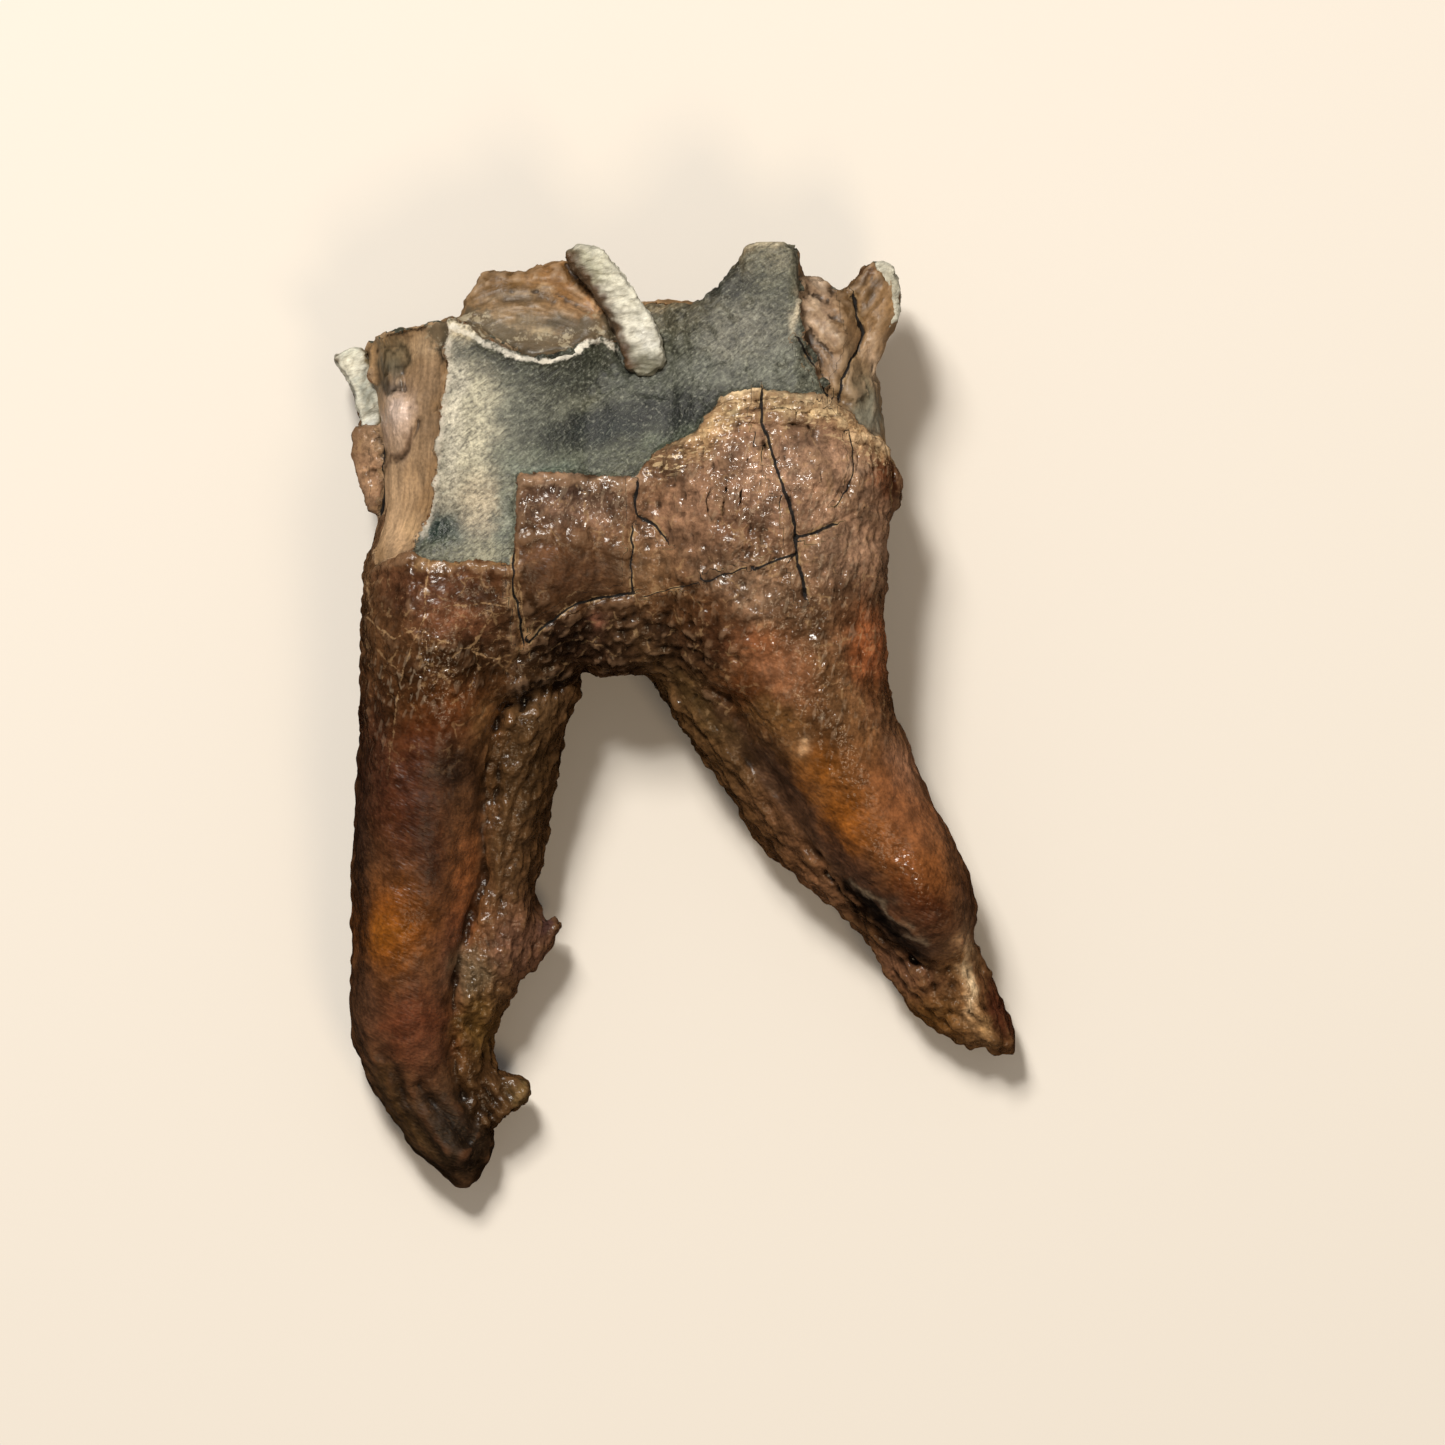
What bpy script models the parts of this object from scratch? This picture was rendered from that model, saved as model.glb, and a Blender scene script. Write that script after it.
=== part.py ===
"""A fossil woolly rhino tooth, one two-rooted lower cheek tooth lying on its tongue side.

The broken crown points to +Y, the two roots to -Y and the cheek side up (+Z).
All sizes are in millimetres, measured from the middle of the tooth's bounding box
on the surface it lies on, and are turned to metres once, by MM.
A lobe of the tooth is a loft of level slices, written as
(y, left edge x, right edge x, back z, front z). A plate is an outline in x and y
with a back and a front depth.
"""

import math

import bmesh
import bpy
from mathutils import Vector, noise

MM = 0.001

# The level plane that the tooth lies on, and a height well clear of it
REST_PLANE = 0.0
CLEAR_OF_TOOTH = 50.0

# Fineness of the form before and after it is thinned
VOXEL = 0.85
LOFT_STEP = 1.6
LOFT_SIDES = 40
SMOOTH_ROUNDS = 3
FACE_BUDGET = 9600

# The crown's two lobes and the web that joins them above the arch
CROWN_SQUARENESS = 2.6
CROWN_LEFT = [
    (46.8, -35.4, -4.5, 2.6, 30.6),
    (43.0, -35.4, -4.0, 1.4, 30.8),
    (38.0, -35.2, -3.5, 0.2, 31.1),
    (30.0, -34.6, -2.5, -0.7, 31.5),
    (24.0, -34.8, -2.0, -0.6, 31.2),
    (18.5, -36.5, -3.0, 0.5, 31.6),
    (12.0, -36.9, -7.0, 1.5, 30.6),
    (7.0, -37.0, -11.5, 2.4, 28.8),
    (3.0, -36.8, -16.0, 4.0, 27.2),
    (0.0, -35.6, -20.0, 6.5, 25.0),
]
CROWN_RIGHT = [
    (48.6, -3.6, 23.4, 2.8, 30.2),
    (43.0, -4.6, 23.3, 1.4, 30.8),
    (38.0, -6.0, 23.9, 0.3, 31.8),
    (33.0, -6.5, 24.6, -0.6, 32.8),
    (28.5, -7.0, 25.4, -0.8, 33.5),
    (22.0, -6.0, 24.7, -0.5, 33.5),
    (15.0, -4.0, 24.4, 0.6, 32.8),
    (9.0, -1.5, 24.2, 1.8, 31.6),
    (4.0, 3.0, 24.6, 2.6, 30.4),
]
CROWN_WEB = [
    (47.0, -14.0, 6.0, 6.0, 25.6),
    (42.0, -16.0, 8.0, 4.0, 27.6),
    (36.0, -18.0, 10.0, 3.0, 30.2),
    (26.0, -18.0, 11.0, 2.0, 31.2),
    (16.0, -18.0, 9.0, 3.0, 29.6),
    (10.0, -16.0, 6.0, 4.5, 27.0),
    (7.0, -13.0, 1.5, 6.5, 24.0),
    (5.4, -9.5, -2.0, 10.0, 20.0),
]

# The left root: a smooth front lobe, and a rough rear lobe nearer the arch
ROOT_SQUARENESS = 2.3
LEFT_FRONT_LOBE = [
    (20.0, -35.8, -17.0, 2.0, 31.2),
    (11.6, -36.9, -18.0, 2.6, 31.0),
    (2.2, -37.2, -19.6, 3.0, 29.6),
    (-7.2, -37.7, -21.6, 2.6, 27.6),
    (-16.6, -38.2, -23.4, 1.6, 25.4),
    (-26.0, -38.4, -24.9, 0.4, 23.0),
    (-33.1, -38.6, -26.1, -0.6, 20.4),
    (-37.8, -38.3, -26.3, -0.8, 18.4),
    (-42.5, -36.8, -25.6, -0.5, 15.8),
    (-47.2, -34.2, -23.8, 0.8, 13.2),
    (-51.9, -30.8, -22.4, 2.5, 10.8),
    (-55.2, -27.4, -23.4, 4.4, 8.4),
    (-56.0, -26.2, -24.8, 5.6, 7.2),
]
LEFT_REAR_LOBE = [
    (10.0, -27.0, -11.5, 5.0, 26.4),
    (2.2, -28.0, -12.1, 4.0, 24.4),
    (-4.8, -29.0, -14.0, 3.2, 22.4),
    (-13.1, -30.0, -15.4, 2.2, 20.4),
    (-20.1, -31.0, -16.8, 1.4, 18.8),
    (-25.0, -31.0, -16.4, 1.0, 17.8),
    (-29.0, -31.0, -17.2, 0.8, 17.0),
    (-33.6, -31.5, -20.1, 0.4, 15.8),
    (-38.4, -32.0, -22.1, 0.4, 14.0),
    (-42.4, -32.0, -21.8, 0.6, 12.2),
    (-47.2, -30.5, -21.8, 1.6, 10.6),
    (-52.4, -27.8, -21.5, 3.2, 9.2),
    (-54.6, -26.0, -23.0, 4.6, 7.6),
]

# The right root: the same two lobes, slanting outwards, the rear one longer
RIGHT_FRONT_LOBE = [
    (20.0, -3.5, 24.6, 1.2, 33.6),
    (9.3, 0.6, 24.3, 2.0, 32.0),
    (2.2, 5.6, 25.2, 2.6, 30.6),
    (-7.2, 11.0, 29.0, 2.6, 28.2),
    (-15.4, 15.6, 33.2, 2.2, 25.8),
    (-20.8, 19.6, 35.2, 1.8, 24.0),
    (-25.0, 23.6, 35.4, 2.0, 22.0),
    (-28.0, 27.4, 34.6, 3.2, 18.8),
    (-29.4, 29.8, 33.0, 6.0, 15.0),
]
RIGHT_REAR_LOBE = [
    (7.0, -3.8, 12.0, 6.0, 24.5),
    (2.2, -1.2, 16.0, 4.2, 23.6),
    (-1.9, 1.5, 19.0, 3.4, 22.4),
    (-7.2, 5.0, 22.0, 2.6, 20.8),
    (-14.2, 9.8, 26.5, 1.6, 18.8),
    (-18.9, 14.4, 30.0, 0.8, 17.4),
    (-21.9, 18.6, 32.4, 0.2, 16.4),
    (-26.6, 22.7, 35.4, -0.5, 15.4),
    (-30.0, 25.2, 36.8, -0.8, 14.6),
    (-33.1, 26.6, 38.4, -0.8, 13.6),
    (-35.6, 29.2, 39.4, -0.4, 12.4),
    (-37.9, 32.4, 40.2, 0.8, 10.6),
    (-39.3, 36.6, 39.8, 3.4, 8.4),
]

# Broken walls, horns and chips that stand on the crown: outline, back z, front z,
# and how far the front leans towards the viewer for each millimetre right and up
PLATES = {
    "left_dentine": (
        [(-25.4, 38.0), (-25.2, 44.6), (-24.5, 49.8), (-22.6, 52.3), (-17.2, 52.6),
         (-13.7, 53.9), (-11.2, 53.6), (-7.2, 48.5), (-4.4, 43.5), (-4.0, 38.0)],
        9.0, 27.4, (0.0, -0.1),
    ),
    "left_column_top": (
        [(-36.2, 40.0), (-36.3, 44.0), (-35.0, 45.4), (-30.0, 46.2), (-27.0, 47.2),
         (-25.0, 47.2), (-24.6, 40.0)],
        6.0, 23.0, (0.6, 0.0),
    ),
    "groove_wall": (
        [(-6.0, 36.0), (-5.6, 47.0), (-4.2, 48.9), (3.0, 48.9), (4.4, 49.8), (4.4, 36.0)],
        14.0, 26.4, (0.3, -0.15),
    ),
    "spire": (
        [(2.8, 36.0), (2.8, 48.9), (4.2, 49.8), (6.4, 52.4), (8.6, 55.9), (12.4, 56.0),
         (14.3, 55.2), (14.6, 36.0)],
        21.5, 30.0, (0.2, -0.05),
    ),
    "right_block": (
        [(12.0, 38.0), (12.6, 49.0), (14.6, 49.4), (15.2, 51.4), (17.5, 51.6), (18.7, 50.4),
         (20.4, 49.2), (21.5, 38.0)],
        9.0, 26.4, (-0.15, 0.0),
    ),
    "horn": (
        [(19.6, 36.0), (20.0, 49.0), (20.6, 51.2), (22.8, 53.9), (25.1, 53.2), (26.3, 50.4),
         (26.1, 46.9), (24.6, 44.6), (23.1, 41.0), (23.9, 36.0)],
        11.0, 25.0, (-0.2, 0.0),
    ),
    "left_flake": (
        [(-40.4, 42.7), (-38.7, 44.0), (-37.3, 43.2), (-36.6, 40.0), (-34.4, 38.6),
         (-34.0, 34.0), (-36.2, 32.7), (-37.6, 35.8), (-39.0, 39.6)],
        7.0, 18.5, (0.0, 0.0),
    ),
    "cracked_wedge": (
        [(-37.9, 34.2), (-36.0, 34.0), (-33.6, 32.0), (-33.6, 22.6), (-34.9, 23.6),
         (-36.4, 25.8), (-37.5, 29.8)],
        7.0, 18.0, (0.0, 0.0),
    ),
    "spur": (
        [(-19.0, -19.0), (-16.6, -23.6), (-14.2, -24.9), (-15.2, -27.2), (-17.0, -29.4),
         (-21.0, -29.0)],
        5.0, 11.5, (0.0, 0.0),
    ),
    "hook": (
        [(-23.4, -41.2), (-20.4, -42.1), (-18.1, -42.7), (-17.3, -44.2), (-17.9, -45.8),
         (-20.0, -46.6), (-22.6, -48.6), (-24.6, -47.0)],
        4.0, 9.6, (0.0, 0.0),
    ),
    "cervix_bump": (
        [(22.0, 31.6), (25.0, 30.6), (26.6, 28.4), (26.0, 26.2), (24.8, 24.4), (22.0, 23.6)],
        12.0, 22.0, (0.0, 0.0),
    ),
}

# The white enamel band across the break: its middle line and its cut section
BAND_PATH = [(-11.7, 54.4), (-9.0, 51.6), (-6.4, 48.1), (-4.3, 44.0), (-2.6, 41.2)]
BAND_WIDTH = 3.0
BAND_BACK = 20.0
BAND_FRONT = 31.6

# Where the crown has broken away: the outline of what is gone, and the z it is gone above
BREAKS = {
    "left_corner": (
        [(-42.0, 43.2), (-36.6, 44.1), (-34.3, 45.2), (-30.0, 46.0), (-25.0, 47.2),
         (-25.0, 60.0), (-42.0, 60.0)],
        -5.0,
    ),
    "left_break": (
        [(-45.0, 46.6), (-27.6, 47.4), (-25.2, 46.4), (-23.1, 45.8), (-20.8, 44.0),
         (-17.2, 42.5), (-15.1, 42.2), (-11.9, 42.8), (-10.2, 44.6), (-7.2, 45.2),
         (-4.6, 43.4), (-4.6, 60.0), (-45.0, 60.0)],
        28.2,
    ),
    "right_break": (
        [(14.5, 60.0), (14.5, 38.2), (18.6, 37.2), (20.4, 35.6), (30.0, 34.0), (30.0, 60.0)],
        27.4,
    ),
}

# The two valleys of the chewing surface, open to the tongue side, and the hollow
# worn into the soft dentine in front of each: slices as above, cut out of the crown
VALLEYS = {
    "left_valley": [
        (58.0, -24.0, -11.0, -6.0, 13.0),
        (48.0, -23.0, -12.0, -6.0, 12.0),
        (40.0, -21.5, -13.5, -5.0, 10.0),
        (33.0, -20.0, -15.0, -4.0, 6.0),
        (28.0, -18.5, -16.5, -3.0, 1.5),
    ],
    "right_valley": [
        (58.0, 1.0, 13.5, -6.0, 12.5),
        (48.0, 2.0, 13.0, -6.0, 12.0),
        (41.0, 4.0, 12.0, -5.0, 10.0),
        (34.0, 5.5, 10.5, -4.0, 5.0),
        (29.0, 7.0, 9.0, -3.0, 1.2),
    ],
    "left_hollow": [
        (60.0, -31.5, -9.0, 14.0, 22.0),
        (47.0, -30.5, -10.0, 14.5, 21.5),
        (43.0, -27.0, -14.0, 16.0, 20.0),
        (42.0, -24.0, -17.0, 17.0, 19.0),
    ],
    "right_hollow": [
        (60.0, -1.0, 20.0, 14.0, 21.0),
        (49.0, 0.0, 19.0, 14.5, 20.5),
        (44.5, 3.0, 16.0, 16.0, 19.5),
        (43.0, 6.0, 13.0, 17.0, 19.0),
    ],
}

# The lower edge of the bare enamel, where the brown cement starts, left to right
CEMENT_EDGE = [
    (-33.1, 18.7), (-26.1, 18.7), (-20.8, 18.4), (-19.0, 19.3), (-18.4, 21.1),
    (-18.0, 28.4), (-9.0, 28.5), (-4.5, 28.4), (-1.4, 30.5), (2.8, 32.2), (5.1, 34.0),
    (6.5, 36.9), (8.1, 37.8), (14.5, 37.8), (18.6, 36.9), (19.8, 35.8), (23.7, 32.8),
]
CEMENT_STEP = 0.8
CEMENT_EDGE_SLOPE = 1.2

# The cement layer thins out down the roots: where it ends, and over how far it thickens
CEMENT_END = -4.0
CEMENT_THICKENS = 20.0

# The upright ridge at the enamel face's left edge, from bottom to top, as (y, x),
# and how steeply the broken wall to its left falls back between its foot and its top
RIDGE = [(20.5, -30.2), (23.5, -29.6), (36.0, -27.9), (46.0, -27.2)]
RIDGE_FOOT = 18.0
RIDGE_TOP = 47.5
RIDGE_FOOT_SLOPE = 3.0
COLUMN_FALL = 0.55

# Broad dents and swellings of the cheek side: x, y, reach, height
SWELLINGS = [
    (9.8, 31.6, 9.0, 0.9),
    (-10.5, 18.0, 8.0, 0.7),
    (-30.0, 12.0, 6.0, 0.6),
    (31.0, -21.0, 6.0, 1.0),
    (-12.0, 36.0, 7.0, -0.7),
    (-3.5, 24.0, 5.0, -1.2),
    (-19.0, 8.0, 5.0, -1.8),
    (-6.0, 11.0, 8.0, -1.6),
    (-29.5, -44.0, 4.0, -1.2),
    (35.0, -31.5, 4.0, -0.8),
]

# Long hollows between the lobes of each root: path, half width, depth
HOLLOWS = [
    ([(-19.4, 6.0), (-21.0, -5.0), (-23.4, -17.0), (-25.6, -30.0), (-26.4, -40.0)], 1.8, 0.8),
    ([(4.0, 2.0), (10.0, -8.0), (17.0, -18.0), (24.0, -25.6), (29.8, -30.2)], 2.2, 1.4),
    ([(-4.0, 25.0), (-5.0, 16.0), (-5.5, 7.0)], 4.0, 0.8),
]

# Lumps of the rough faces: size of a lump and its height
COARSE_LUMP = 7.0
COARSE_HEIGHT = 0.55
FINE_LUMP = 2.6
FINE_HEIGHT = 0.38
FINE_LUMP_SHIFT = (31.0, 7.0, 3.0)

# The bare enamel face is nearly free of lumps: its left and right edge, its lowest z,
# the width over which lumps fade out there, and the share of them that it lacks
FACE_LEFT = -28.0
FACE_RIGHT = 16.0
FACE_BACK = 20.0
FACE_FADE = 2.0
FACE_BACK_FADE = 4.0
FACE_SMOOTHNESS = 0.85

# A surface counts as the cheek side when it faces up at least this much, and fully
# when it faces up this much more
CHEEK_FACING = 0.1
CHEEK_FACING_FADE = 0.5

# Varnished brown cement, the finish of most of the tooth
FOSSIL_COLOUR = "#5c4030"
FOSSIL_ROUGHNESS = 0.34


def clear_scene():
    for item in list(bpy.data.objects):
        bpy.data.objects.remove(item, do_unlink=True)


def new_collection(name):
    collection = bpy.data.collections.new(name)
    bpy.context.scene.collection.children.link(collection)
    return collection


def linear_colour(hex_colour):
    channels = [int(hex_colour[i:i + 2], 16) / 255 for i in (1, 3, 5)]
    return [c / 12.92 if c <= 0.04045 else ((c + 0.055) / 1.055) ** 2.4 for c in channels] + [1.0]


def smooth_step(value):
    value = min(1.0, max(0.0, value))
    return value * value * (3.0 - 2.0 * value)


def along_table(table, place):
    """The table's second value where its first is place; the first values only rise."""
    if place <= table[0][0]:
        return table[0][1]
    for (start, low), (end, high) in zip(table, table[1:]):
        if place <= end:
            return low + (high - low) * (place - start) / (end - start)
    return table[-1][1]


def distance_to_path(path, x, y):
    point = Vector((x, y))
    nearest = math.inf
    for start, end in zip(path, path[1:]):
        a = Vector(start)
        run = Vector(end) - a
        share = min(1.0, max(0.0, (point - a).dot(run) / run.length_squared))
        nearest = min(nearest, (point - a - run * share).length)
    return nearest


def slices_between(stations, step):
    """More slices along a smooth curve through the hand-set ones."""
    slices = []
    for i in range(len(stations) - 1):
        here, after = stations[i], stations[i + 1]
        before = stations[max(i - 1, 0)]
        beyond = stations[min(i + 2, len(stations) - 1)]
        count = max(1, round(abs(here[0] - after[0]) / step))
        for k in range(count):
            t = k / count
            slices.append([
                0.5 * (2 * b + (c - a) * t + (2 * a - 5 * b + 4 * c - d) * t ** 2
                       + (3 * b - a - 3 * c + d) * t ** 3)
                for a, b, c, d in zip(before, here, after, beyond)
            ])
    slices.append(list(stations[-1]))
    return slices


def add_loft(bm, stations, squareness):
    """A closed lobe: one rounded ring for each level slice, skinned and capped."""
    rings = []
    for y, left, right, back, front in slices_between(stations, LOFT_STEP):
        half_width = max(0.2, (right - left) / 2)
        half_depth = max(0.2, (front - back) / 2)
        ring = bmesh.ops.create_circle(bm, segments=LOFT_SIDES, radius=1.0)["verts"]
        for vert in ring:
            across, deep = vert.co.x, vert.co.y
            across = math.copysign(abs(across) ** (2 / squareness), across)
            deep = math.copysign(abs(deep) ** (2 / squareness), deep)
            vert.co = Vector((
                (left + right) / 2 + half_width * across,
                y,
                (back + front) / 2 + half_depth * deep,
            )) * MM
        rings.append(ring)
    faces = [bm.faces.new(rings[0]), bm.faces.new(list(reversed(rings[-1])))]
    for upper, lower in zip(rings, rings[1:]):
        for i in range(LOFT_SIDES):
            j = (i + 1) % LOFT_SIDES
            faces.append(bm.faces.new((upper[j], upper[i], lower[i], lower[j])))
    bmesh.ops.recalc_face_normals(bm, faces=faces)


def add_plate(bm, outline, back, front, lean=(0.0, 0.0)):
    """A broken wall: the outline pushed from its back to its front depth."""
    middle_x = sum(x for x, _ in outline) / len(outline)
    middle_y = sum(y for _, y in outline) / len(outline)
    rear = bm.faces.new([bm.verts.new(Vector((x, y, back)) * MM) for x, y in outline])
    grown = bmesh.ops.extrude_face_region(bm, geom=[rear], use_keep_orig=True)["geom"]
    for vert in [item for item in grown if isinstance(item, bmesh.types.BMVert)]:
        rise = lean[0] * (vert.co.x / MM - middle_x) + lean[1] * (vert.co.y / MM - middle_y)
        vert.co.z = (front + rise) * MM
    faces = {face for item in grown for face in getattr(item, "link_faces", [])}
    bmesh.ops.recalc_face_normals(bm, faces=list(faces | {rear}))


def band_outline():
    """The band's outline: its middle line set off by half its width to either side."""
    left_side, right_side = [], []
    for i, (x, y) in enumerate(BAND_PATH):
        start = Vector(BAND_PATH[max(i - 1, 0)])
        end = Vector(BAND_PATH[min(i + 1, len(BAND_PATH) - 1)])
        along = (end - start).normalized()
        aside = Vector((-along.y, along.x)) * BAND_WIDTH / 2
        left_side.append((x + aside.x, y + aside.y))
        right_side.append((x - aside.x, y - aside.y))
    return left_side + list(reversed(right_side))


def new_object(name, bm, collection):
    mesh = bpy.data.meshes.new(name)
    bm.to_mesh(mesh)
    bm.free()
    item = bpy.data.objects.new(name, mesh)
    collection.objects.link(item)
    return item


def make_masses(collection):
    """Every lobe and plate of the tooth, overlapping in one mesh."""
    bm = bmesh.new()
    for lobe in (CROWN_LEFT, CROWN_RIGHT, CROWN_WEB):
        add_loft(bm, lobe, CROWN_SQUARENESS)
    for lobe in (LEFT_FRONT_LOBE, LEFT_REAR_LOBE, RIGHT_FRONT_LOBE, RIGHT_REAR_LOBE):
        add_loft(bm, lobe, ROOT_SQUARENESS)
    for outline, back, front, lean in PLATES.values():
        add_plate(bm, outline, back, front, lean)
    return new_object("tooth", bm, collection)


def new_cutter(name, bm, collection):
    cutter = new_object(name, bm, collection)
    cutter.hide_render = True
    cutter.display_type = "WIRE"
    return cutter


def make_cutters(collection):
    """The valleys and the broken-away enamel, as shapes to take out of the crown."""
    cutters = []
    for name, stations in VALLEYS.items():
        bm = bmesh.new()
        add_loft(bm, stations, ROOT_SQUARENESS)
        cutters.append(new_cutter(name, bm, collection))
    for name, (outline, depth_left) in BREAKS.items():
        bm = bmesh.new()
        add_plate(bm, outline, depth_left, CLEAR_OF_TOOTH)
        cutters.append(new_cutter(name, bm, collection))
    return cutters


def make_band(collection):
    """The enamel band is laid over the break after the cuts, so that it stands proud."""
    bm = bmesh.new()
    add_plate(bm, band_outline(), BAND_BACK, BAND_FRONT)
    return new_cutter("enamel_band", bm, collection)


def apply_modifiers(item):
    bpy.context.view_layer.update()
    graph = bpy.context.evaluated_depsgraph_get()
    finished = bpy.data.meshes.new_from_object(item.evaluated_get(graph))
    item.modifiers.clear()
    old = item.data
    item.data = finished
    bpy.data.meshes.remove(old)
    finished.name = item.name


def add_remesh(item):
    remesh = item.modifiers.new("one_skin", "REMESH")
    remesh.mode = "VOXEL"
    remesh.voxel_size = VOXEL * MM


def add_smooth(item, rounds):
    smooth = item.modifiers.new("worn", "SMOOTH")
    smooth.factor = 0.5
    smooth.iterations = rounds


def add_boolean(item, operation, other):
    boolean = item.modifiers.new(other.name, "BOOLEAN")
    boolean.operation = operation
    boolean.solver = "EXACT"
    boolean.object = other


def fuse(tooth, cutters, band):
    """One closed skin round all the masses, less the cuts, with the band laid on."""
    add_remesh(tooth)
    for cutter in cutters:
        add_boolean(tooth, "DIFFERENCE", cutter)
    add_boolean(tooth, "UNION", band)
    add_remesh(tooth)
    add_smooth(tooth, SMOOTH_ROUNDS)
    apply_modifiers(tooth)


def cheek_relief(x, y):
    """How far the cheek side stands out from, or lies below, the plain lobes."""
    height = 0.0
    for centre_x, centre_y, reach, rise in SWELLINGS:
        share = math.hypot(x - centre_x, y - centre_y) / reach
        height += rise * math.exp(-share * share)
    for path, half_width, depth in HOLLOWS:
        share = distance_to_path(path, x, y) / half_width
        height -= depth * math.exp(-share * share)
    cement = smooth_step((along_table(CEMENT_EDGE, x) - y) / CEMENT_EDGE_SLOPE + 0.5)
    height += CEMENT_STEP * cement * smooth_step((y - CEMENT_END) / CEMENT_THICKENS)
    ridge = along_table(RIDGE, y)
    if x < ridge and RIDGE_FOOT < y < RIDGE_TOP:
        height -= COLUMN_FALL * (ridge - x) * smooth_step((y - RIDGE_FOOT) / RIDGE_FOOT_SLOPE)
    return height


def rough_share(x, y, z):
    """1 on cement, root and breaks, little on the bare enamel of the cheek side."""
    on_face = smooth_step((y - along_table(CEMENT_EDGE, x)) / FACE_FADE)
    on_face *= smooth_step((z - FACE_BACK) / FACE_BACK_FADE)
    on_face *= smooth_step((x - FACE_LEFT) / FACE_FADE) * smooth_step((FACE_RIGHT - x) / FACE_FADE)
    return 1.0 - FACE_SMOOTHNESS * on_face


def sculpt(tooth):
    mesh = tooth.data
    normals = [vert.normal.copy() for vert in mesh.vertices]
    for vert, normal in zip(mesh.vertices, normals):
        x, y, z = vert.co / MM
        facing = smooth_step((normal.z - CHEEK_FACING) / CHEEK_FACING_FADE)
        vert.co.z += cheek_relief(x, y) * facing * MM
        place = Vector((x, y, z))
        lump = COARSE_HEIGHT * noise.noise(place / COARSE_LUMP)
        lump += FINE_HEIGHT * noise.noise(place / FINE_LUMP + Vector(FINE_LUMP_SHIFT))
        vert.co += normal * lump * rough_share(x, y, z) * MM


def thin_out(tooth):
    thin = tooth.modifiers.new("fewer_faces", "DECIMATE")
    thin.ratio = FACE_BUDGET / sum(len(face.vertices) - 2 for face in tooth.data.polygons)
    thin.use_collapse_triangulate = True
    apply_modifiers(tooth)


def rest_on_flats(tooth):
    """Cuts the few lowest bumps of the back off level, so that the tooth lies still on them."""
    bm = bmesh.new()
    bm.from_mesh(tooth.data)
    everything = bm.verts[:] + bm.edges[:] + bm.faces[:]
    bmesh.ops.bisect_plane(
        bm, geom=everything, dist=1e-7, plane_co=(0.0, 0.0, REST_PLANE), plane_no=(0.0, 0.0, -1.0),
        clear_outer=True,
    )
    rims = [edge for edge in bm.edges if edge.is_boundary]
    bmesh.ops.holes_fill(bm, edges=rims, sides=0)
    bmesh.ops.triangulate(bm, faces=[face for face in bm.faces if len(face.verts) > 3])
    drop_crumbs(bm)
    bmesh.ops.recalc_face_normals(bm, faces=bm.faces)
    bm.to_mesh(tooth.data)
    bm.free()


def drop_crumbs(bm):
    """Keeps the tooth and removes the specks that the level cut leaves loose."""
    unseen = set(bm.verts)
    bodies = []
    while unseen:
        edge_of_body = [unseen.pop()]
        body = list(edge_of_body)
        while edge_of_body:
            vert = edge_of_body.pop()
            fresh = [edge.other_vert(vert) for edge in vert.link_edges]
            fresh = [other for other in fresh if other in unseen]
            unseen.difference_update(fresh)
            edge_of_body += fresh
            body += fresh
        bodies.append(body)
    bodies.sort(key=len)
    crumbs = [vert for body in bodies[:-1] for vert in body]
    bmesh.ops.delete(bm, geom=crumbs, context="VERTS")


def centre(tooth):
    """Moves the tooth so that the middle of its bounding box is over the origin."""
    places = [vert.co for vert in tooth.data.vertices]
    shift = Vector((
        (min(co.x for co in places) + max(co.x for co in places)) / 2,
        (min(co.y for co in places) + max(co.y for co in places)) / 2,
        0.0,
    ))
    for co in places:
        co -= shift


def fossil_material():
    material = bpy.data.materials.new("fossil_enamel_and_cement")
    material.use_nodes = True
    shader = material.node_tree.nodes["Principled BSDF"]
    shader.inputs["Base Color"].default_value = linear_colour(FOSSIL_COLOUR)
    shader.inputs["Roughness"].default_value = FOSSIL_ROUGHNESS
    shader.inputs["Metallic"].default_value = 0.0
    return material


def main():
    clear_scene()
    tooth = make_masses(new_collection("fossil_woolly_rhino_tooth"))
    guides = new_collection("cutters")
    fuse(tooth, make_cutters(guides), make_band(guides))
    sculpt(tooth)
    thin_out(tooth)
    rest_on_flats(tooth)
    centre(tooth)
    tooth.data.materials.clear()
    tooth.data.materials.append(fossil_material())


main()
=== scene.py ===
# %% [markdown]
# # A fossil woolly rhino tooth
# This lesson builds the looks of one fossil cheek tooth, lying with its cheek side up.
# The plain solid of the tooth comes first, as a frame that never moves. Everything made here
# sits in the same place and at the same size, and stands for that solid in the picture.

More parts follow.
